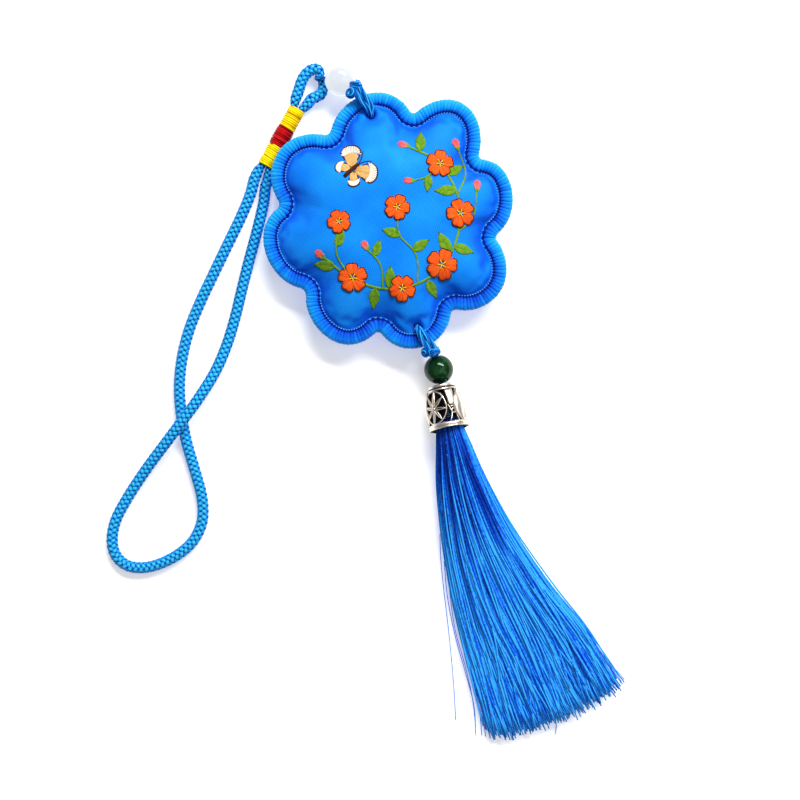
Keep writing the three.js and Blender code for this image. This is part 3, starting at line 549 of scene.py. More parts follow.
for eyelet in EYELETS:
    eye = Vector(eyelet) * MM
    lips = []
    for front, made in halves:
        middle = min(made, key=lambda v: (v.co.xy - eye).length)
        around = {v for face in middle.link_faces for v in face.verts if v is not middle}
        for vert in around:
            vert.co.xy = eye + (vert.co.xy - eye).normalized() * EYELET_RADIUS[front] * MM
            vert.co.z -= EYELET_DIP[front] * MM
        lips += [e for face in middle.link_faces for e in face.edges if middle not in e.verts]
        made.remove(middle)
        bmesh.ops.delete(bm, geom=[middle], context="VERTS")
    bmesh.ops.bridge_loops(bm, edges=list(set(lips)))
bmesh.ops.remove_doubles(bm, verts=bm.verts, dist=0.02 * MM)
bmesh.ops.recalc_face_normals(bm, faces=bm.faces)
if bm.calc_volume(signed=True) < 0:
    bmesh.ops.reverse_faces(bm, faces=bm.faces)
cushion_mesh = mesh_of("satin_cushion", bm)

rest = np.array([v.co for v in cushion_mesh.vertices])
bearing = np.arctan2(rest[:, 1], rest[:, 0])
sewn = np.hypot(rest[:, 0], rest[:, 1]) > (flower_reach(bearing, DOME_INSET) - SEWN_MARGIN) * MM
for eyelet in EYELETS:
    sewn |= np.hypot(*(rest[:, :2] - np.array(eyelet) * MM).T) < EYELET_HELD * MM
scene = bpy.context.scene
pad = in_scene("pad_being_stuffed", cushion_mesh.copy())
pad.data.transform(Matrix.Scale(STUFFING_SCALE, 4))
pad.vertex_groups.new(name="sewn").add(np.flatnonzero(sewn).tolist(), 1.0, "REPLACE")
cloth = pad.modifiers.new("stuffing", "CLOTH")
cloth.settings.quality = 6
cloth.settings.mass = 0.3
cloth.settings.use_pressure = True
cloth.settings.uniform_pressure_force = 3.0
cloth.settings.shrink_min = -0.02
cloth.settings.vertex_group_mass = "sewn"
cloth.settings.effector_weights.gravity = 0
cloth.collision_settings.use_collision = False
cloth.point_cache.frame_start, cloth.point_cache.frame_end = 1, STUFFING_FRAMES
for moment in range(1, STUFFING_FRAMES + 1):
    scene.frame_set(moment)
stuffed = pad.evaluated_get(bpy.context.evaluated_depsgraph_get()).to_mesh()
moved = np.array([v.co for v in stuffed.vertices]) / STUFFING_SCALE - rest
scene.frame_set(1)
bpy.data.objects.remove(pad)
far = np.linalg.norm(moved, axis=1, keepdims=True) / MM
moved *= STUFFING_LIMIT * np.tanh(far / STUFFING_LIMIT) / np.maximum(far, 1e-9)
rest = rest + moved
rest[:, 2] = np.maximum(rest[:, 2], 0)
cushion_mesh.vertices.foreach_set("co", rest.ravel())

# Satin weave: long floats of silky thread that lie side by side, so it shines softly in its own blue, with
# painted shade in a deeper blue where the cloth slopes steeply down to the seam, and a fine diagonal grain.
# Threads are about
# 0.12 mm apart, drawn at 0.5 mm so that they show.
SATIN_PITCH = 0.5  # mm
SATIN_TURNS = (28, -62)  # degrees, how the two ways of the weave lie
WAVE_LENGTH = math.pi / 10  # a wave texture of scale 1 repeats every so many units
SATIN_CLOUDS = 12.0  # mm
# Painted shade: the more the cloth slopes, the deeper the blue painted on it, fullest at this slope.
FULL_SHADE_SLOPE = 0.24  # 1 minus the upward share of the direction, where the cloth looks deepest
upward = np.array([v.normal.z for v in cushion_mesh.vertices])
painted_slope_shade = np.clip((1 - np.abs(upward)) / FULL_SHADE_SLOPE, 0, 1) ** 1.6
depth = cushion_mesh.attributes.new("painted_slope_shade", "FLOAT", "POINT")
depth.data.foreach_set("value", painted_slope_shade.astype(np.float32))
satin, tree = finish_of(
    "blue_satin_weave",
    Roughness=0.42,
    Specular_IOR_Level=0.35,
    Specular_Tint=srgb("#3f9bff"),
    Sheen_Weight=0.08,
    Sheen_Tint=srgb("#5cb4ff"),
    Anisotropic=0.4,
)
where = node(tree, "TexCoord", out="Object")
grain = []
for turn in SATIN_TURNS:
    turned = node(tree, "Mapping", {"Vector": where, "Rotation": (0, 0, math.radians(turn))})
    floats = {"Vector": turned, "Scale": WAVE_LENGTH / (SATIN_PITCH * MM)}
    floats.update({"Distortion": 1.5, "Detail": 1.0, "Detail Scale": 2.0})
    grain.append(node(tree, "TexWave", floats, out="Fac", wave_type="BANDS", bands_direction="X"))
weave = node(tree, "Math", {0: grain[0], 1: grain[1]}, operation="MULTIPLY")
clouds = node(tree, "TexNoise", {"Vector": where, "Scale": 1 / (SATIN_CLOUDS * MM), "Detail": 2.0})
mixed = node(tree, "Math", {0: weave, 1: 0.55, 2: clouds}, operation="MULTIPLY_ADD")
satin_blues = [(0.25, "#0e6ee4"), (0.65, "#128af4"), (1.0, "#26a0ff")]
blues = node(tree, "ValToRGB", {"Fac": mixed}, satin_blues)
slope_shade_share = node(tree, "Attribute", out="Fac", attribute_name="painted_slope_shade")
# Painted shade: the deeper blue is mixed in by the slope.
painted_shade_mix = {0: slope_shade_share, 6: blues, 7: srgb("#0a5ce6")}
node(tree, "Mix", painted_shade_mix, out=2, to=["Base Color"], data_type="RGBA")
node(tree, "Bump", {"Strength": 0.25, "Distance": 0.1 * MM, "Height": weave}, to=["Normal"])
cushion = dressed("satin_cushion", cushion_mesh, satin)
softened = cushion.modifiers.new("softened", "SUBSURF")
softened.levels = softened.render_levels = 1
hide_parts("front_panel", "back_panel")


# Stuffing: dried leaf and wood crumbs, packed loose between the two pieces of satin and out of sight.
# They are matt, in browns and grey greens, about 1.5 mm each. The CAD solid stays and gets their finish.
CRUMB = 1.5  # mm
crumbs, tree = finish_of("dried_herb_crumbs", Roughness=0.95, Specular_IOR_Level=0.1)
where = node(tree, "TexCoord", out="Object")
bits = node(tree, "TexVoronoi", {"Vector": where, "Scale": 1 / (CRUMB * MM)}).node.outputs
kind = node(tree, "SeparateColor", {"Color": bits["Color"]})
browns = [(0.0, "#5a4526"), (0.5, "#a88a58"), (1.0, "#8d9268")]
node(tree, "ValToRGB", {"Fac": kind}, browns, to=["Base Color"])
node(tree, "Bump", {"Strength": 0.8, "Distance": 0.5 * MM, "Height": bits["Distance"]}, to=["Normal"])
bpy.data.objects["scent_filling"].material_slots[0].material = crumbs


# Wrapped edge: bulky blue thread overlocked round both rims. It goes over the edge in close ribs,
# which end in a line of needle holes on each side, where a thin chain of thread links them.
RIBS = 240
RIB_STEPS, RIB_SIDES = 19, 8
RIB_THICKNESS = 0.33  # mm, half
RIB_FULLNESS, RIB_TIGHTENING = 1.34, 0.7  # share of its room round the outside, and less at its ends
RIB_THINNEST, RIB_WIDEST = 0.16, 0.8  # mm, half
NARROWING_FROM, NARROWING_OVER = 0.9, 0.8  # mm in from the edge's middle
RIB_STRAY, RIB_UNEVEN = 0.03, 0.05  # mm that it lies out of its place, and share of its width
RIB_TONE, OUTSIDE_PAINTED_LIGHT, CORD_SIDE_PAINTED_LIGHT, RIB_TONE_SPREAD = 0.47, 0.24, 0.13, 0.045
EDGE_HALF_WIDTH, EDGE_HALF_HEIGHT = 2.05, 2.1  # mm, to the outside of the ribs
EDGE_SQUARENESS = 0.6
EDGE_CORE_HALF_WIDTH, EDGE_CORE_HALF_HEIGHT, EDGE_CORE_SIDES = 1.75, 1.68, 20
LIP_ANGLE = math.radians(143)
# The painted shade strip of the needle holes.
HOLE_SHADE_INSET, HOLE_SHADE_HALF_WIDTH = 3.95, 0.75  # mm
CHAIN_RADIUS = 0.12
CHAIN_INSET, CHAIN_SCALLOP = 4.15, 0.3  # mm from the outer side, and further in between two ribs
CHAIN_LIFT, CHAIN_DIP = 0.34, 0.45  # mm over the rim at a rib, and lower between two
CHAIN_STEPS = 8  # per rib

chance = np.random.default_rng(7)
rib_points, rib_outs = outline(RIBS)
turn = np.linspace(LIP_ANGLE, -LIP_ANGLE, RIB_STEPS)
round_section = np.stack([np.cos(turn), np.sin(turn)], axis=1)
section_size = np.array([EDGE_HALF_WIDTH - RIB_THICKNESS, EDGE_HALF_HEIGHT - RIB_THICKNESS])
section = section_size * np.sign(round_section) * np.abs(round_section) ** EDGE_SQUARENESS
slope = np.gradient(section, axis=0)
facing = unit(np.stack([-slope[:, 1], slope[:, 0]], axis=1))
ribs = (
    rib_points[:, None]
    + rib_outs[:, None] * section[None, :, :1]
    + UP * (SEAM_Z + section[None, :, 1:])
    + chance.normal(0, RIB_STRAY, (RIBS, 1, 3))
)
rib_facing = rib_outs[:, None] * facing[None, :, :1] + UP * facing[None, :, 1:]
pitch = np.linalg.norm(np.roll(ribs, -1, 0) - np.roll(ribs, 1, 0), axis=2) / 2
narrowing = np.clip((-section[:, 0] - NARROWING_FROM) / NARROWING_OVER, 0, 1)
fullness = (RIB_FULLNESS - RIB_TIGHTENING * narrowing) * chance.normal(1, RIB_UNEVEN, (RIBS, 1))
rib_half_width = np.clip(0.5 * pitch * fullness, RIB_THINNEST, RIB_WIDEST)
# Painted light and shade: the thread is painted paler on the outside of the ribs and on the side of the
# cushion towards the hanging cord, where the light comes from, and darker towards the needle line.
rib_tone = RIB_TONE + OUTSIDE_PAINTED_LIGHT * section[:, 0] / EDGE_HALF_WIDTH + CORD_SIDE_PAINTED_LIGHT * rib_outs[:, 1:2]
rib_tone = rib_tone + chance.normal(0, RIB_TONE_SPREAD, (RIBS, 1))
edge_parts = [spun(ribs, rib_half_width, RIB_SIDES, RIB_THICKNESS - 0.1 * narrowing, rib_facing)]
# Painted highlight along each rib's crown.
edge_tones = [(rib_tone[..., None] + 0.1 * crown_of(RIB_SIDES)).ravel()]
core_points, core_outs = outline(2 * RIBS)
core_ring = (core_points + UP * SEAM_Z)[None]
edge_core = spun(core_ring, EDGE_CORE_HALF_WIDTH, EDGE_CORE_SIDES, EDGE_CORE_HALF_HEIGHT, UP, closed=True)
edge_parts.append(edge_core)
# Painted shade: the core under the ribs gets a deep tone where it shows between them.
edge_tones.append(0.12)
chain_points, chain_outs = outline(RIBS * CHAIN_STEPS)
scallop = np.abs(np.sin(np.pi * np.arange(RIBS * CHAIN_STEPS) / CHAIN_STEPS))[:, None] ** 0.8
for face, rim_z in ((1, FRONT_RIM_Z), (-1, BACK_RIM_Z)):
    # Painted shade: a dark navy strip along each needle line stands for the shade in and beside the needle
    # holes.
    needle_hole_shade = core_points + core_outs * (EDGE_MIDDLE - HOLE_SHADE_INSET) + UP * (rim_z + 0.04 * face)
    chain = chain_points + chain_outs * (EDGE_MIDDLE - CHAIN_INSET - CHAIN_SCALLOP * scallop)
    chain = chain + UP * (rim_z + face * (CHAIN_LIFT - CHAIN_DIP * scallop))
    edge_parts.append(spun(needle_hole_shade[None], HOLE_SHADE_HALF_WIDTH, 6, 0.06, UP, closed=True))
    edge_parts.append(spun(chain[None], CHAIN_RADIUS, 6, outward=UP, closed=True))
    edge_tones += [0.0, 1.25]

# Bulky silky overlock thread: painted light in bright cyan blue on the outside of the ribs, and painted shade
# in deep navy in the needle holes.
edge_thread = silky_thread(
    "overlock_thread",
    ("#040f78", "#0a3fc4", "#1173ea", "#1aa6f6", "#3aa0f8", "#62acfc"),
    (0.0, 0.28, 0.5, 0.76, 0.95, 1.0),
    fibre=0.3,
    detail=3.0,
    fleck=0.22,
    ridge=0.4,
    Roughness=0.45,
    Specular_Tint=srgb("#49b4ff"),
    Sheen_Weight=0.1,
    Sheen_Tint=srgb("#5cc4ff"),
)
edge = piece_of("overlocked_edge", edge_parts, edge_thread, edge_tones)
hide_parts("wrapped_edge")


# Embroidery: a flowering spray and a butterfly in silky thread, worked on the front piece of satin.
# The threads lie side by side as satin stitch, arched a little over the cloth, with outlines in stem stitch.
STITCH_HALF_WIDTH, STITCH_HALF_THICKNESS = 0.25, 0.13  # mm
STITCH_SIDES = 5
STITCH_LIFT = 0.16  # mm, top of the arch over the cloth
STITCH_SUNK = 0.02  # mm that its ends go in
# Painted highlight: a stitch is painted brighter along its crown; its tone also differs at random.
STITCH_TONE, STITCH_TONE_SPREAD, STITCH_PAINTED_CROWN_LIGHT = 0.5, 0.1, 0.16  # the middle tone, and its rise to the crown
OVER_STEM = 0.2  # mm, blossoms are worked over the stems
STEM_STEP = 0.1  # mm
# Places on the front are x and y in mm from the cushion's middle.
MAIN_STEM = [
    (-21.4, -6.2), (-15, -14), (-7, -19), (3, -20), (12, -16), (18, -8), (20, 2), (17, 12), (9.4, 19.1),
]
TWIGS = [
    [(-15, -14), (-17.5, -6), (-14.5, 1)],
    [(3, -20), (4.5, -12), (1, -5), (2.5, 1)],
    [(18, -8), (23, -5), (25.8, 2.4)],
    [(20, 2), (24, 8), (23.4, 15.4)],
    [(-7, -19), (-6, -12.5), (-8.6, -7.2)],
    [(17, 12), (13, 9), (8.6, 8.7)],
]
BLOSSOMS = [
    # x, y, radius in mm and turn in degrees
    (-14.5, -14.0, 4.3, 10), (-1.5, -20.2, 3.9, 40), (11.0, -16.2, 4.6, -15), (19.6, -3.2, 4.2, 25),
    (17.2, 12.0, 4.0, 0), (2.4, 2.4, 3.8, 55), (-14.6, 2.4, 3.5, 30),
]
LEAVES = [
    # x, y of the foot, length in mm, heading in degrees
    (-18.6, -9.6, 6.2, 160), (-9.0, -18.2, 6.0, 250), (-5.0, -19.4, 6.2, 75), (6.0, -19.6, 5.6, 285),
    (14.0, -13.6, 6.6, 105), (15.6, -12.0, 6.0, 330), (20.2, 3.4, 6.4, 170), (18.6, 8.4, 5.6, 20),
    (-17.0, -4.4, 5.4, 55), (3.8, -10.6, 5.6, 20), (1.6, -5.6, 5.6, 150), (12.6, 16.6, 6.0, 75),
    (13.4, 9.2, 4.8, 250), (-7.0, -9.6, 4.8, 60),
]
BUDS = [
    # as for the leaves
    (-21.0, -6.6, 3.4, 130), (-8.4, -7.6, 3.2, 110), (25.8, 1.8, 3.6, 75), (23.4, 14.8, 3.6, 95),
    (10.0, 18.8, 3.6, 150), (9.0, 8.6, 3.2, 165),
]
BUTTERFLY = (-7.5, 16.0, 7.4, 28)  # x, y, length of a fore wing in mm, heading in degrees
WINGS = [(52, 30, 1.0), (122, 26, 0.68)]  # degrees from its heading and half spread, share of the length
PETAL_STITCHES, WING_STITCHES, BUD_STITCHES = 11, 15, 6
BLOSSOM_PETALS, PETAL_SPREAD = 5, 30  # half spread in degrees
EMBROIDERY_COLOURS = {
    # deep, body and bright colour, and the record's slot
    "orange": ("#c22f06", "#f8561a", "#ff7a30", "yellow_thread"),
    "green": ("#2c5210", "#5f8f1e", "#86b030", "satin"),
    "coral": ("#a02030", "#ea5a58", "#ff8078", "red_thread"),
    "tan": ("#a06a28", "#dca860", "#f0c684", "satin"),
    "cream": ("#c8b494", "#f4ead6", "#fff8ea", "satin"),
    "umber": ("#180c08", "#3a1a10", "#5a2c1a", "red_thread"),
    "gold": ("#b87808", "#f2bc1c", "#ffdc50", "yellow_thread"),
}
front_cloth = BVHTree.FromObject(cushion, bpy.context.evaluated_depsgraph_get())
chance = np.random.default_rng(11)
sewing = {colour: ([], []) for colour in EMBROIDERY_COLOURS}


def on_cloth(places, lift):
    """Points at a height over the front of the cushion, at places[..., 2] in mm, and where they face."""
    above = [Vector((x * MM, y * MM, 0.05)) for x, y in places.reshape(-1, 2)]
    hits = [front_cloth.ray_cast(point, Vector((0, 0, -1)))[:2] for point in above]
    points, facing = (np.array(found).reshape(*places.shape[:-1], 3) for found in zip(*hits))
    return points / MM + facing * lift, facing


def stitch(colour, starts, stops, half_width=STITCH_HALF_WIDTH, steps=7, lift=STITCH_LIFT, over=0.0):
    """Threads from starts to stops[n, 2], which go into the cloth, or what is under them, at both ends."""
    share = np.linspace(0, 1, steps)[:, None]
    starts, stops = (np.asarray(ends, float)[:, None] for ends in (starts, stops))
    arch = over + lift * np.sin(np.pi * share) ** 0.4 - STITCH_SUNK
    lines, facing = on_cloth(starts + (stops - starts) * share, arch)
    tones = chance.normal(STITCH_TONE, STITCH_TONE_SPREAD, (len(lines), 1, 1))
    # Painted highlight along the crown.
    tones = tones + STITCH_PAINTED_CROWN_LIGHT * crown_of(STITCH_SIDES)
    tones = np.repeat(tones, steps, axis=1)
    sewing[colour][0].append(spun(lines, half_width, STITCH_SIDES, STITCH_HALF_THICKNESS, facing))
    sewing[colour][1].append(tones.ravel())


def stem(colour, points, half_width=0.22, length=1.7, slant=0.14, over=0.0):
    """Stem stitch along a line: short threads that overlap like the strands of a rope."""
    line = smooth_line([(*point, 0.0) for point in points], STEM_STEP)[:, :2]
    ahead = unit(np.gradient(line, axis=0))
    slanted = slant * np.stack([-ahead[:, 1], ahead[:, 0]], axis=1)
    long = max(4, round(length / STEM_STEP))
    first = np.arange(0, max(1, len(line) - long // 2), max(1, long // 2))
    last = np.minimum(first + long, len(line) - 1)
    stitch(colour, line[first] - slanted[first], line[last] + slanted[last], half_width, 5, 0.14, over)


def heading_of(degrees):
    """Directions on the front, ahead and to the left of a heading."""
    cos, sin = np.cos(np.radians(degrees)), np.sin(np.radians(degrees))
    return np.stack([cos, sin], axis=-1), np.stack([-sin, cos], axis=-1)


def fan(colour, place, turn, spread, inner, outer, over=0.0):
    """Stitches that open like a fan, from an inner radius to outer[n] radii, and the fan's two rims."""
    ahead, _ = heading_of(turn + np.linspace(-spread, spread, len(outer)))
    foot, tip = place + inner * ahead, place + outer[:, None] * ahead
    stitch(colour, foot, tip, over=over)
    return foot, tip


def blossom(x, y, radius, turn):
    place = np.array([x, y])
    across = np.linspace(-1, 1, PETAL_STITCHES)
    outer = radius * (1 - 0.2 * across**4 - 0.09 * np.exp(-((across / 0.22) ** 2)))
    turns = turn + 360 / BLOSSOM_PETALS * np.arange(BLOSSOM_PETALS)
    for petal_turn in turns:
        foot, tip = fan("orange", place, petal_turn, PETAL_SPREAD, 0.2 * radius, outer, OVER_STEM)
        stem("umber", np.concatenate([foot[:1], tip, foot[-1:]]), 0.11, 1.0, 0.03, OVER_STEM)
    ahead, _ = heading_of(turns + 180 / BLOSSOM_PETALS)
    stitch("gold", place + 0.1 * ahead, place + 0.34 * radius * ahead, 0.17, 5, 0.34, OVER_STEM)


def leaf(x, y, length, heading):
    place = np.array([x, y])
    ahead, side = heading_of(heading)
    share = np.linspace(0.04, 0.86, round(length / 0.42))[:, None]
    rib = place + ahead * length * share
    half = 0.25 * length * np.sin(np.pi * np.minimum(share + 0.16, 1) ** 0.85)
    for hand in (1, -1):
        stitch("green", rib, rib + ahead * 0.16 * length + hand * half * side)
    stem("green", [place, place + ahead * length], 0.14, 1.2, 0.05)


def bud(x, y, length, heading):
    place = np.array([x, y])
    outer = length * (1 - 0.25 * np.linspace(-1, 1, BUD_STITCHES) ** 2)
    fan("coral", place, heading, 22, 0.12 * length, outer)
    fan("green", place, heading, 34, 0.0, 0.42 * length * np.ones(3))


def butterfly(x, y, span, heading):
    place = np.array([x, y])
    for hand in (1, -1):
        across = hand * np.linspace(-1, 1, WING_STITCHES)
        for turn, spread, size in WINGS:
            axis = heading + hand * turn
            outer = size * span * (1 - 0.1 * (across - 0.2) ** 2 - 0.14 * np.abs(across) ** 5)
            _, rim = fan("cream", place, axis, spread, 0.66 * size * span, outer)
            foot, _ = fan("tan", place, axis, spread, 0.1 * span, 0.7 * outer)
            stem("umber", np.concatenate([foot[:1], rim, foot[-1:]]), 0.2, 1.2, 0.05)
    ahead, side = heading_of(heading)
    body = place + np.array([[-0.3], [0.0], [0.3]]) * side
    stitch("umber", body - 0.42 * span * ahead, body + 0.32 * span * ahead, 0.26, 9, 0.5)
    for hand in (1, -1):
        feeler = [(0.3, 0.0), (0.55, 0.08), (0.78, 0.26)]  # shares of the span, ahead and aside
        stem("umber", [place + span * (a * ahead + b * hand * side) for a, b in feeler], 0.13, 1.2, 0.03)


stem("green", MAIN_STEM, 0.3, 1.9, 0.2)
for twig in TWIGS:
    stem("green", twig)
for place in LEAVES:
    leaf(*place)
for place in BUDS:
    bud(*place)
for place in BLOSSOMS:
    blossom(*place)
butterfly(*BUTTERFLY)
for colour, (*shades, slot) in EMBROIDERY_COLOURS.items():
    stitches, tones = sewing[colour]
    worked = piece_of("stitches_" + colour, stitches, silky_thread(colour + "_silk", shades), tones)


# Ties: two thin silky cords. Each is doubled through an eyelet, goes over and under the edge and is knotted.
# The upper one then goes through the white bead and round the small loop, and the lower one through
# the green bead.
TIE_RADIUS = 0.85  # mm
TIE_END_RADIUS = 0.4  # where it is drawn thin round the small loop
TIE_STRANDS, TIE_STRAND_SIDES, TIE_CORE_SIDES = 8, 6, 8
TIE_TWIST = 15.0  # mm along the cord for one turn of its strands
TIE_STEP = 0.22  # mm
TIE_CORE_SHARE, TIE_STRAND_SHARE = 0.7, 0.3  # of the radius
# Painted highlight: each strand is painted brighter along its crown; the strands also differ in tone one from
# another.
TIE_TONE, TIE_TONE_SPREAD, TIE_PAINTED_CROWN_LIGHT = 0.26, 0.34, 0.55  # the middle tone, and its rise to the crown
WHITE_BEAD = {"place": (-4.6, 43.5, 5.3), "radius": 4.7, "bore": 1.2, "turn": -22.0}
GREEN_BEAD = {"place": (3.45, -45.1, 4.3), "radius": 4.3, "bore": 1.2, "turn": -92.8}


def on_bore(along, z=WHITE_BEAD["place"][2]):
    ahead, _ = heading_of(WHITE_BEAD["turn"])
    return (*(WHITE_BEAD["place"][:2] + along * ahead), z)


def silky_cord_of(points, radius):
    """A cord of fine strands that turn slowly round it, on a core, and their tones: painted highlights on the
    strands' crowns, and the core painted in deep shade.
    """
    line = smooth_line(points, TIE_STEP)
    number = np.arange(TIE_STRANDS)[:, None]
    radial = square_to(line, 2 * np.pi * (number / TIE_STRANDS + reach_along(line) / TIE_TWIST))
    core, half = TIE_CORE_SHARE * radius, TIE_STRAND_SHARE * radius
    strands = spun(line + core * radial, half, TIE_STRAND_SIDES, outward=radial)
    tones = TIE_TONE + TIE_TONE_SPREAD * np.cos(2.4 * number)[..., None]
    # Painted highlight along the crown of each strand.
    tones = tones + TIE_PAINTED_CROWN_LIGHT * np.maximum(crown_of(TIE_STRAND_SIDES), -0.3)
    tones = np.repeat(tones, len(line), axis=1)
    # Painted shade: the core gets a deep tone.
    return [strands, spun(line[None], core, TIE_CORE_SIDES)], [tones.ravel(), 0.1]


def knot_turn(place, radius, tilt, heading, turns=1.6, rise=0.55):
    """Points of a tight coil of cord, its axis tilted from straight up towards a heading."""
    turned = Matrix.Rotation(math.radians(heading), 3, "Z") @ Matrix.Rotation(math.radians(tilt), 3, "Y")
    coil = []
    for share in np.linspace(0, 1, round(14 * turns)):
        angle = 2 * math.pi * turns * share
        point = Vector((radius * math.cos(angle), radius * math.sin(angle), rise * (2 * share - 1)))
        coil.append(tuple(turned @ point + Vector(place)))
    return coil


UPPER_KNOT = (-0.75, 40.0, 9.9)
UPPER_TIE = [
    [on_bore(-4.2), on_bore(0), on_bore(4.5), (0.25, 41.1, 6.3), (0.0, 40.5, 8.3), UPPER_KNOT],
    [
        (-1.9, 39.7, 10.3), (-1.5, 37.8, 10.8), (-0.6, 35.2, 10.5), (0.9, 32.8, 10.2), (1.5, 31.0, 8.9),
        (1.5, 31.0, 5.0), (1.0, 33.6, 3.2), (0.4, 36.4, 3.2), (-0.3, 38.9, 4.4), (-0.5, 39.7, 6.8),
        (-0.6, 39.9, 8.8),
    ],
    [
        (-0.1, 39.8, 10.3), (0.5, 37.8, 10.8), (1.3, 35.2, 10.5), (2.0, 33.0, 10.1), (1.6, 31.2, 8.9),
        (1.5, 31.0, 6.0),
    ],
    knot_turn(UPPER_KNOT, 1.15, 70, 75),
    knot_turn((-2.7, 37.9, 10.9), 0.85, 35, 150, 1.3, 0.3),
]
ROUND_LOOP = [
    [on_bore(-3.6), on_bore(-4.7), on_bore(-5.5, 4.85), on_bore(-6.15, 4.1)],
    knot_turn(on_bore(-6.15, 2.7), 1.35, 90, WHITE_BEAD["turn"] + 90, 2.3, 0.4),
]
LOWER_KNOT = (3.1, -40.0, 9.4)
LOWER_TIE = [
    [
        (2.0, -40.2, 9.6), (1.5, -38.2, 10.6), (0.7, -35.8, 10.5), (0.3, -33.8, 10.2), (0.3, -32.0, 8.9),
        (0.3, -32.0, 5.0), (0.8, -34.6, 3.2), (1.6, -37.2, 3.2), (2.3, -39.7, 4.6), (2.6, -40.2, 6.8),
        (2.8, -40.1, 8.4),
    ],
    [
        (3.6, -39.8, 9.8), (3.3, -38.0, 10.6), (2.4, -35.8, 10.5), (1.4, -33.9, 10.1), (0.4, -32.2, 8.9),
        (0.3, -32.0, 6.0),
    ],
    [
        LOWER_KNOT, (3.5, -39.9, 6.6), (3.6, -40.2, 4.6), (3.55, -42.3, 4.3), (3.45, -45.1, 4.3),
        (3.05, -51.7, 4.4),
    ],
    knot_turn(LOWER_KNOT, 1.15, 70, -75),
    knot_turn((0.8, -39.5, 10.0), 0.7, 50, 200, 1.3, 0.3),
]
tie_finish = silky_thread("tie_silk", ("#02124c", "#0646b4", "#38baff"))
for cad_node, thick, thin in (("upper_tie", UPPER_TIE, ROUND_LOOP), ("lower_tie", LOWER_TIE, [])):
    parts, tones = [], []
    for runs, radius in ((thick, TIE_RADIUS), (thin, TIE_END_RADIUS)):
        for points in runs:
            more_parts, more_tones = silky_cord_of(points, radius)
            parts += more_parts
            tones += more_tones
    tied = piece_of(cad_node + "_cord", parts, tie_finish, tones)
    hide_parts(cad_node)


# Beads: two round glass beads, drilled through, with their bore mouths rounded over.
# The white one sits on the upper tie and the green one on the lower tie, above the cap.
BEAD_STEPS, BEAD_ARC = 48, 30  # points round it, and from mouth to mouth
MOUTH_WIDTH = 0.35  # mm, how far the rounding goes out from the bore
MOUTH_ROUNDING = [(0.03, 0.16), (0.15, 0.04), (0.4, 0.0)]  # mm in from the end and out from the bore


def bead_mesh(name, place, radius, bore, turn):
    """A drilled ball, turned about the X axis from its closed profile of (along, radius) and then placed."""
    start = math.asin((bore + MOUTH_WIDTH) / radius)
    end = radius * math.cos(start)
    arc = np.linspace(start, math.pi - start, BEAD_ARC)
    profile = [(-radius * math.cos(a), radius * math.sin(a)) for a in arc]
    lip = [(end - inward, bore + out) for inward, out in MOUTH_ROUNDING]
    profile += lip + [(0.0, bore)] + [(-along, height) for along, height in reversed(lip)]
    bm = bmesh.new()
    verts = [bm.verts.new((along * MM, height * MM, 0)) for along, height in profile]
    edges = [bm.edges.new(pair) for pair in zip(verts, verts[1:] + verts[:1])]
    bmesh.ops.spin(
        bm,
        geom=verts + edges,
        cent=(0, 0, 0),
        axis=(1, 0, 0),
        dvec=(0, 0, 0),
        angle=2 * math.pi,
        steps=BEAD_STEPS,
        use_merge=True,
        use_duplicate=False,
    )
    bmesh.ops.remove_doubles(bm, verts=bm.verts, dist=0.001 * MM)
    bmesh.ops.recalc_face_normals(bm, faces=bm.faces)
    placed = Matrix.Translation(Vector(place) * MM) @ Matrix.Rotation(math.radians(turn), 4, "Z")
    bmesh.ops.transform(bm, matrix=placed, verts=bm.verts)
    return mesh_of(name, bm)


# Milk glass: white with a faint cloud inside, 4 mm across, and polished. It lets light through from all
# round, so it has no dark side, which a weak glow stands for.
MILK_GLASS = {
    "Roughness": 0.12,
    "IOR": 1.5,
    "Subsurface_Weight": 1.0,
    "Subsurface_Radius": (1.0, 1.0, 1.0),
    "Subsurface_Scale": 6 * MM,
    "Emission_Color": srgb("#f1f6fd"),
    "Emission_Strength": 0.77,
}
MILK_CLOUD = {"Scale": 1 / (4 * MM), "Detail": 3.0, "Distortion": 0.6}
WHITES = [(0.3, "#5a626c"), (0.7, "#6c747e")]
# Deep green glass: nearly black green with darker swirls, 3 mm across, polished, so that it mirrors the
# lights sharply.
GREEN_GLASS = {"Roughness": 0.05, "Specular_IOR_Level": 0.28}
GREEN_SWIRLS = {"Scale": 1 / (3 * MM), "Detail": 4.0, "Distortion": 1.6}
GREENS = [(0.3, "#04180a"), (0.55, "#0c3818"), (0.8, "#1c5a2a")]
for cad_node, bead_name, bead, slot, glass_name, surface, pattern, stops in (
    ("white_bead", "white_glass_bead", WHITE_BEAD, "milk_bead", "milk_glass", MILK_GLASS, MILK_CLOUD, WHITES),
    (
        "green_bead", "green_glass_bead", GREEN_BEAD, "green_bead",
        "deep_green_glass", GREEN_GLASS, GREEN_SWIRLS, GREENS,
    ),
):
    glass, tree = finish_of(glass_name, **surface)
    where = node(tree, "TexCoord", out="Object")
    cloud = node(tree, "TexNoise", {"Vector": where, **pattern})
    node(tree, "ValToRGB", {"Fac": cloud}, stops, to=["Base Color"])
    strung = dressed(bead_name, bead_mesh(bead_name, **bead), glass)
    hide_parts(cad_node)


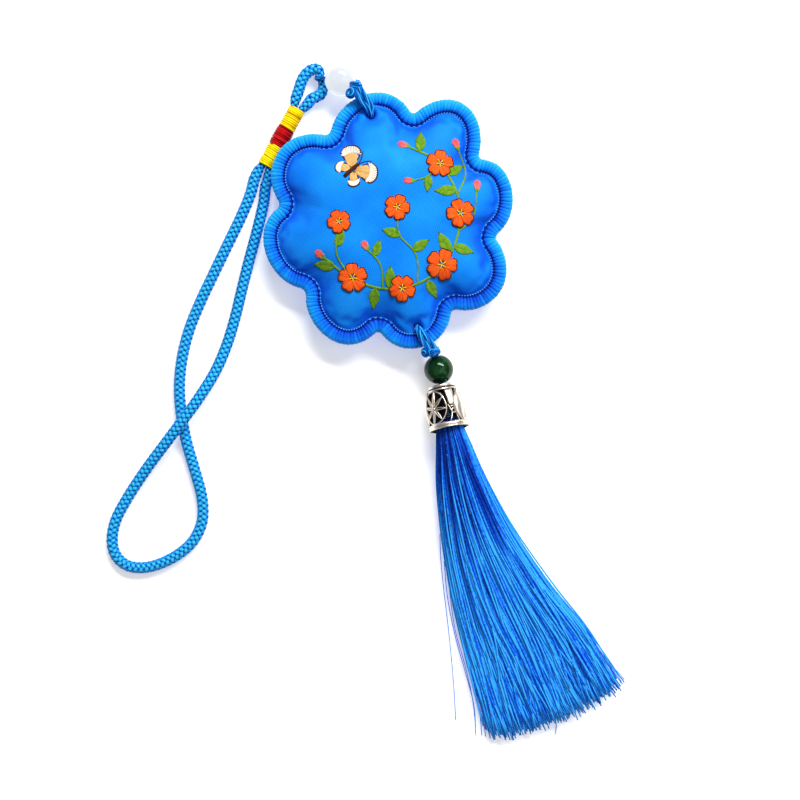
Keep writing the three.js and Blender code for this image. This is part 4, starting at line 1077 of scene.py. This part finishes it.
# Bead cap: a small cast bell of antique silver with rolled rims, left dark in its hollows by oxide.
# Two pierced daisies alternate with two fluted leaves, with scrolls and plain plates between them.
CAP_LENGTH = 13.0  # mm
CAP_TOP_RADIUS, CAP_BELLY_RADIUS, CAP_RIM_RADIUS = 4.05, 5.6, 5.95
CAP_SKIN = 0.35  # mm, how far the wall's middle lies inside these
CAP_CLEARANCE = 0.6  # mm, the cast work on its underside holds it off the floor
CAP_LEAN = math.radians(2.8)
CAP_RISE = math.asin((CAP_RIM_RADIUS - CAP_TOP_RADIUS) / CAP_LENGTH)
LEVEL = np.array([-math.sin(CAP_LEAN), -math.cos(CAP_LEAN), 0.0])
HANG = math.cos(CAP_RISE) * LEVEL + math.sin(CAP_RISE) * UP
CAP_TOP = np.array([3.1, -49.75, CAP_TOP_RADIUS / math.cos(CAP_RISE) + CAP_CLEARANCE])
CAP_RIM = CAP_TOP + CAP_LENGTH * HANG
CAP_X = unit(np.cross(UP, -HANG))
CAP_Y = np.cross(-HANG, CAP_X)
CAP_RINGS = [
    # mm above the rim, radius, half width and half thickness
    (12.45, 3.57, 0.5, 0.46), (11.45, 3.87, 0.3, 0.24), (0.95, 5.36, 0.68, 0.6), (0.22, 5.6, 0.22, 0.3),
]
CAP_GROOVES = (11.95, 0.5)  # mm above the rim
# Degrees round the axis from straight up.
DAISY_TURNS, LEAF_TURNS, PLATE_TURNS, POST_TURNS = (-42, 138), (57, 237), (19, 199), (90, 270)
DAISY_HALF_WIDTH, DAISY_HALF_HEIGHT, DAISY_MIDDLE = 3.9, 4.75, 6.25  # mm, the daisy's round frame
DAISY_HUB = 5.9  # mm above the rim
DAISY_EYE = 0.34  # mm, radius
PETALS = 8
PETAL_RIDGES = [
    # side, raised, half width, tone
    (0, -0.2, 0.3, 0.05), (1, 0.1, 0.13, 0.85), (-1, 0.1, 0.13, 0.85),
]
LEAF_HALF_WIDTH, LEAF_FROM, LEAF_TO, FLUTES = 3.1, 1.4, 11.2, 2
PLATE_HALF_WIDTH, PLATE_FROM, PLATE_TO = 1.15, 6.3, 11.0
PLATE_THICKNESS = 0.55  # mm
STALKS = [(-1.2, 0.9), (1.5, -0.5)]  # mm across, and how far it bends
cap_parts, cap_tones = [], []


def cap_radius(height):
    share = height / CAP_LENGTH
    straight = CAP_RIM_RADIUS + (CAP_TOP_RADIUS - CAP_RIM_RADIUS) * share
    return straight - CAP_SKIN + np.maximum(0, (CAP_BELLY_RADIUS - straight) * np.sin(np.pi * share) * 0.8)


def on_cap(turn, across, height, raised):
    """Places on the cap's wall: mm across from a line at a turn round it, above its rim and out of it."""
    across, height, raised = np.broadcast_arrays(*(np.asarray(v, float) for v in (across, height, raised)))
    angle = np.radians(turn) + across / cap_radius(height)
    facing = -np.sin(angle)[..., None] * CAP_X + np.cos(angle)[..., None] * CAP_Y
    return CAP_RIM + facing * (cap_radius(height) + raised)[..., None] - height[..., None] * HANG, facing


def cap_wire(turn, across, height, raised, half_width, half_thickness, closed=False, tone=0.75, sides=8):
    """A cast ridge that follows a line on the cap's wall, bright on its back and dark at its foot."""
    line, facing = on_cap(turn, across, height, raised)
    cap_parts.append(spun(line[None], half_width, sides, half_thickness, facing[None], closed))
    cap_tones.append(np.tile(tone + 0.6 * crown_of(sides) - 0.4, len(line)))


def cap_plate(turn, half_width, low, high, width_at, relief, columns, rows):
    """A cast plate on the cap's wall, of two skins joined at their rims. The width is a share at a share
    of its height, and the relief is how far its front stands out."""
    bm = bmesh.new()
    skin_tones = []
    for front in (True, False):
        skin = bmesh.ops.create_grid(bm, x_segments=columns, y_segments=rows, size=1)["verts"]
        side, share = np.array([v.co[:2] for v in skin]).T
        share = (share + 1) / 2
        raised = relief(side, share) if front else -PLATE_THICKNESS
        places, _ = on_cap(turn, side * half_width * width_at(share), low + (high - low) * share, raised)
        for vert, place in zip(skin, places):
            vert.co = place
        skin_tones.append(0.35 + 1.1 * raised if front else 0 * share)
    bmesh.ops.bridge_loops(bm, edges=[edge for edge in bm.edges if edge.is_boundary])
    bmesh.ops.recalc_face_normals(bm, faces=bm.faces)
    bm.verts.index_update()
    faces = [[v.index for v in face.verts] for face in bm.faces]
    cap_tones.append(np.concatenate(skin_tones))
    cap_parts.append((np.array([v.co for v in bm.verts]), faces))
    bm.free()


def leaf_width(share):
    return np.sin(np.pi * (0.03 + 0.94 * share) ** 0.82) ** 0.8


def leaf_relief(side, share):
    swelling = 0.55 * np.sin(np.pi * share) + 0.4 * np.sqrt(np.clip(1 - side**2, 0, 1))
    return 0.1 + swelling - 0.24 * np.abs(np.cos(np.pi * FLUTES * (side + 1) / 2)) ** 8


def plate_width(share):
    return 0.75 + 0.25 * share


def plate_relief(side, share):
    return 0.4 - 0.14 * np.abs(side) ** 6 - 0.14 * np.abs(2 * share - 1) ** 10


whole_turn = np.linspace(0, 2 * np.pi, 96, endpoint=False)
for height, radius, half_width, half_thickness in CAP_RINGS:
    wall = cap_radius(height)
    cap_wire(0, whole_turn * wall, height, radius - wall, half_width, half_thickness, closed=True, sides=10)
for height in CAP_GROOVES:
    cap_wire(0, whole_turn * cap_radius(height), height, -0.5, 0.75, 0.28, closed=True, tone=0.0)
eye = whole_turn[::6]
for turn in DAISY_TURNS:
    frame_height = DAISY_MIDDLE + DAISY_HALF_HEIGHT * np.sin(whole_turn)
    cap_wire(turn, DAISY_HALF_WIDTH * np.cos(whole_turn), frame_height, 0.08, 0.2, 0.36, closed=True)
    for petal in range(PETALS):
        angle = 2 * math.pi * (petal + 0.8) / PETALS
        tip_height = DAISY_MIDDLE - DAISY_HUB + DAISY_HALF_HEIGHT * math.sin(angle)
        tip = np.array([DAISY_HALF_WIDTH * math.cos(angle), tip_height])
        share = np.linspace(0.12, 0.97, 16)
        belly = np.sin(np.pi * share**0.85)
        for hand, raised, half_width, tone in PETAL_RIDGES:
            aside = hand * 0.28 * belly[:, None] * np.array([-tip[1], tip[0]]) / np.linalg.norm(tip)
            across, above = (share[:, None] * tip + aside).T
            width = 0.06 + half_width * belly
            cap_wire(turn, across, DAISY_HUB + above, raised, width, 0.28, tone=tone, sides=6)
    eye_height = DAISY_HUB + DAISY_EYE * np.sin(eye)
    cap_wire(turn, DAISY_EYE * np.cos(eye), eye_height, 0.3, 0.3, 0.3, closed=True)
    cap_wire(turn, np.zeros(4), DAISY_HUB + np.linspace(-0.3, 0.3, 4), 0.36, 0.3, 0.3, tone=0.9)
for turn in LEAF_TURNS:
    cap_plate(turn, LEAF_HALF_WIDTH, LEAF_FROM, LEAF_TO, leaf_width, leaf_relief, 29, 39)
curl = np.linspace(0, 2.6 * np.pi, 40)
size = 0.25 + 0.85 * curl / curl[-1]
stalk = np.linspace(0, 1, 10)
for turn in PLATE_TURNS:
    cap_plate(turn, PLATE_HALF_WIDTH, PLATE_FROM, PLATE_TO, plate_width, plate_relief, 7, 15)
    curl_height = 4.7 + 1.2 * size * np.sin(curl + 0.6)
    cap_wire(turn + 3, size * np.cos(curl + 0.6), curl_height, 0.1, 0.2, 0.34)
    for across, bend in STALKS:
        cap_wire(turn, across + bend * np.sin(np.pi * stalk), 1.6 + 4.9 * stalk, 0.0, 0.2, 0.32, tone=0.65)
post = np.linspace(1.6, 11.4, 12)
for turn in POST_TURNS:
    cap_wire(turn, 0.3 * np.sin(post), post, 0.0, 0.3, 0.34, tone=0.6)

# Antique silver: cast, with its high places rubbed bright and a brown-black oxide left in the hollows.
# The tone is how far a place stands out. The oxide is patchy over about half a millimetre.
OXIDE_PATCH = 0.6  # mm
antique_silver, tree = finish_of("antique_silver", Metallic=0.95)
tone = node(tree, "Attribute", out="Fac", attribute_name="tone")
where = node(tree, "TexCoord", out="Object")
patches = node(tree, "TexNoise", {"Vector": where, "Scale": 1 / (OXIDE_PATCH * MM), "Detail": 3.0})
rubbed = node(tree, "Math", {0: patches, 1: 0.5, 2: tone}, operation="MULTIPLY_ADD")
silvers = [(0.35, "#140b07"), (0.62, "#6e5a4a"), (0.9, "#cfbfab"), (1.0, "#f6ebdb")]
node(tree, "ValToRGB", {"Fac": rubbed}, silvers, to=["Base Color"])
polish = {"From Min": 0.4, "From Max": 1.0, "To Min": 0.6, "To Max": 0.3}
node(tree, "MapRange", {"Value": rubbed, **polish}, to=["Roughness"])
node(tree, "Bump", {"Strength": 0.25, "Distance": 0.1 * MM, "Height": patches}, to=["Normal"])
cap = piece_of("openwork_bead_cap", cap_parts, antique_silver, cap_tones)
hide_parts("bead_cap")


# Tassel: a hank of nearly a thousand loose silky threads, bound at its head inside the cap.
# They fan out and cross each other as they lie on the surface, and their cut ends are uneven.
THREADS = 950
THREAD_STEPS, THREAD_SIDES = 28, 3
THREAD_RADIUS = 0.25  # mm; real thread is about 0.1 mm, drawn thicker so that the hank stays full
STRAY_RADIUS = 0.14
BOW, LEAN, RIPPLE, BOB = 2.2, 2.9, 0.6, 1.0  # mm of straying: bowed, to a side, in waves, up and down
FAN = [
    # y, x of the middle, half width, lowest and highest thread in mm
    (-55.0, 2.85, 2.3, 2.8, 7.2),
    (-59.0, 2.65, 3.4, 2.6, 8.6),
    (-63.4, 2.45, 4.3, 1.7, 9.9),
    (-68.0, 2.35, 5.3, 0.8, 10.0),
    (-79.0, 2.1, 7.5, 0.2, 8.9),
    (-96.0, 3.1, 10.6, 0.2, 7.6),
    (-115.0, 6.1, 14.2, 0.2, 6.4),
    (-133.0, 10.0, 17.5, 0.2, 5.4),
    (-153.2, 13.4, 19.6, 0.2, 4.4),
]
# Share of the length and tone there: painted shade, dark under the cap where the hank is dense, and lighter
# towards the ends.
TONE_AND_SHADE_ALONG = [(0.0, 0.1), (0.1, 0.16), (0.2, 0.22), (0.29, 0.4), (0.38, 0.6), (0.5, 1.0), (1.0, 1.1)]
STRAYS = [
    # points on the floor that a loose thread follows, after it leaves the fan
    [
        (-7.4, -92), (-8.9, -99.6), (-10.1, -108.4), (-11.2, -118), (-12.8, -130), (-14.4, -140),
        (-15.6, -146.4),
    ],
    [(-8.0, -100), (-9.5, -110), (-10.0, -122), (-9.6, -133), (-9.4, -143.4), (-10.9, -152.1)],
    [(-8.4, -108), (-9.6, -120), (-9.2, -132), (-9.4, -142), (-10.4, -149.9)],
    [(-8.2, -120), (-8.7, -130), (-8.3, -139), (-8.3, -146), (-9.2, -152.6)],
    [(-8.0, -128), (-8.0, -138), (-7.6, -146), (-8.2, -153.2)],
    [(13.6, -146), (13.3, -150), (12.9, -153.8), (12.6, -156.2), (12.0, -157.4)],
    [(22.4, -119.2), (26.2, -128.6), (30.3, -136.9), (33.4, -143.7), (34.6, -147.6)],
    [(24.0, -126.0), (27.4, -132.4), (31.0, -138.4), (33.4, -142.6), (35.4, -146.4)],
]
STRAY_START_Z, STRAY_Z = 1.5, 0.35  # mm, where it leaves the fan and on the floor
HEAD_FROM, HEAD_TO = 1.8, 10.4  # mm below the cap's top
HEAD_RADIUS, HEAD_SWELL = 2.4, 1.85  # mm at its top, and more at its foot
HEAD_TURNS, HEAD_POINTS = 15, 240
GOLDEN_SHARE = 0.618034  # spreads the threads evenly across the hank, whatever their layer
CUT_UNEVEN, CUT_SHORT, SHORT_THREADS = 0.03, 0.12, 0.1  # shares of the length, and of the threads cut short
CUT_SLANT = (0.8, 3.1, 2.9)  # mm that the cut end lies back: all over, towards one side, towards both
SETTLED_FROM, SETTLED_OVER = 0.12, 0.15  # shares of the length over which it settles
LOCKS = [(17, 2.0), (41, 0.7), (90, 0.0)]  # waves across the hank and their phase
LOCK_HEIGHT = 0.16  # mm
TONE_SPREAD = 0.5
# Painted light on the threads to the right of the cap and painted shade on those to its left, both fading
# down the hank.
PAINTED_LIGHT_RIGHT, PAINTED_SHADE_LEFT, OUTERMOST = 0.9, 0.2, 0.85  # in tone, and from what share across the hank

chance = np.random.default_rng(5)
number = np.arange(THREADS)
place = (2 * ((number * GOLDEN_SHARE) % 1) - 1)[:, None]  # across the hank, from -1 to 1
layer = ((number + 0.5) / THREADS)[:, None]  # from the lowest to the highest
cut = CUT_UNEVEN * chance.random(THREADS) ** 2
cut_short = CUT_SHORT * (chance.random(THREADS) > 1 - SHORT_THREADS) * chance.random(THREADS)
share = np.linspace(0, 1, THREAD_STEPS)[None] * (1 - cut - cut_short)[:, None]
stations = smooth_line([(y, 0.0, 0.0, x, half, low, high) for y, x, half, low, high in FAN], 0.5)
at = np.linspace(0, 1, len(stations))
fan_y, fan_x, fan_half, fan_low, fan_high = (np.interp(share, at, stations[:, c]) for c in (0, 3, 4, 5, 6))
drift = chance.normal(0, 1, (THREADS, 4))
bowed, leaned, waved, wave_start = (drift[:, c : c + 1] for c in range(4))
wander = (
    BOW * bowed * np.sin(np.pi * share) * share
    + LEAN * leaned * share**2
    + RIPPLE * waved * np.sin(2 * np.pi * (2.2 * share + wave_start)) * share
) * (1 - 0.7 * np.abs(place) ** 3)
x = fan_x + fan_half * place * (1 - 0.07 * np.abs(place) * (1 - share)) + wander
slant = (CUT_SLANT[0] + CUT_SLANT[1] * place + CUT_SLANT[2] * place**2) * share**3
y = fan_y - 0.6 * share**4 + slant + chance.normal(0, 0.8, (THREADS, 1)) * share**4
# The hank is round under the cap, and soon settles to a heap on the floor, in locks.
depth = np.sqrt(np.clip(1 - (place * (1 - 0.35 * share)) ** 2, 0, 1)) * (fan_high - fan_low)
rounded = (fan_low + fan_high) / 2 + (layer - 0.5) * depth
settled = fan_low + layer * depth
z = rounded + (settled - rounded) * np.clip((share - SETTLED_FROM) / SETTLED_OVER, 0, 1)
locks = LOCK_HEIGHT * sum(np.sin(count * place + phase) for count, phase in LOCKS)
z = z + (0.3 + 0.6 * share) * locks * layer
z = z + BOB * np.sin(2 * np.pi * (4 * share + waved)) * share**2 * layer
threads = np.stack([x, y, np.maximum(z, THREAD_RADIUS)], axis=-1)
# Threads differ in tone. Painted light: the ones to the right of the cap are painted lighter, and those to
# its left darker, near the cap. The outermost are lighter too.
thread_tone = np.interp(share, *zip(*TONE_AND_SHADE_ALONG)) + 0.1 * np.sin(9 * share + 6 * bowed)
own_tone = chance.normal(0, TONE_SPREAD, (THREADS, 1))
thread_tone += own_tone * np.clip(0.25 + share / 0.4, 0, 1) * (1 - 0.2 * share)
thread_tone += np.where(place > 0, PAINTED_LIGHT_RIGHT, PAINTED_SHADE_LEFT) * place * np.exp(-share / 0.35)
outermost = np.clip((np.abs(place) - OUTERMOST) / (1 - OUTERMOST), 0, 1)
thread_tone = np.maximum(thread_tone, 0.12 + 0.7 * outermost * np.clip(share / 0.3, 0.2, 1))
taper = 1 - 0.35 * np.clip((np.linspace(0, 1, THREAD_STEPS) - 0.9) / 0.1, 0, 1)
tassel_parts = [spun(threads, THREAD_RADIUS * (1 + 0.2 * share) * taper, THREAD_SIDES)]
tassel_tones = [np.repeat(thread_tone.ravel(), THREAD_SIDES)]
for stray in STRAYS:
    line = smooth_line([(x, y, STRAY_Z if step else STRAY_START_Z) for step, (x, y) in enumerate(stray)], 3.0)
    tassel_parts.append(spun(line[None], STRAY_RADIUS, 4))
    tassel_tones.append(0.6)
share = np.linspace(0, 1, HEAD_POINTS)[:, None]
middle = CAP_TOP + (HEAD_FROM + (HEAD_TO - HEAD_FROM) * share) * HANG
reach = HEAD_RADIUS + HEAD_SWELL * share**0.8
turn = 2 * np.pi * HEAD_TURNS * share
facing = np.cos(turn) * CAP_X + np.sin(turn) * CAP_Y
tassel_parts.append(spun((middle + reach * facing)[None], 0.3, 5, outward=facing[None]))
tassel_parts.append(spun(middle[None, ::40], reach[None, ::40, 0], 16))
# Painted shade: the binding of the head and its core get the darkest tone, nearly black, as the shade inside
# the cap.
tassel_tones += [0.0, 0.0]

# Loose silky thread of twisted plies: bright along each lit thread, broken up by the twist about every
# 0.8 mm, with painted shade in deep blue inside the hank, and the bound head painted nearly black as the
# shade inside the cap. The threads let light through, which a weak glow in their own blue stands for.
PLY_TWIST = 0.8  # mm
tassel_silk, tree = finish_of(
    "loose_tassel_silk",
    Roughness=0.34,
    Specular_IOR_Level=0.4,
    Specular_Tint=srgb("#b4dcff"),
    Emission_Strength=0.06,
)
tone = node(tree, "Attribute", out="Fac", attribute_name="tone")
where = node(tree, "TexCoord", out="Object")
twist = node(tree, "TexNoise", {"Vector": where, "Scale": 1 / (PLY_TWIST * MM), "Detail": 1.0})
contrast = {"From Min": 0.3, "From Max": 0.7, "To Min": 0.65, "To Max": 1.3}
plies = node(tree, "MapRange", {"Value": twist, **contrast})
plied = node(tree, "Math", {0: tone, 1: plies}, operation="MULTIPLY")
# The lowest stop, nearly black, is the painted shade of the head inside the cap.
tassel_blues = [(0.0, "#0a0606"), (0.12, "#042490"), (0.5, "#106cf6"), (1.0, "#38acff")]
node(tree, "ValToRGB", {"Fac": plied}, tassel_blues, to=["Base Color", "Emission Color"])
tassel = piece_of("tassel_threads", tassel_parts, tassel_silk, tassel_tones)
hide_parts("tassel")
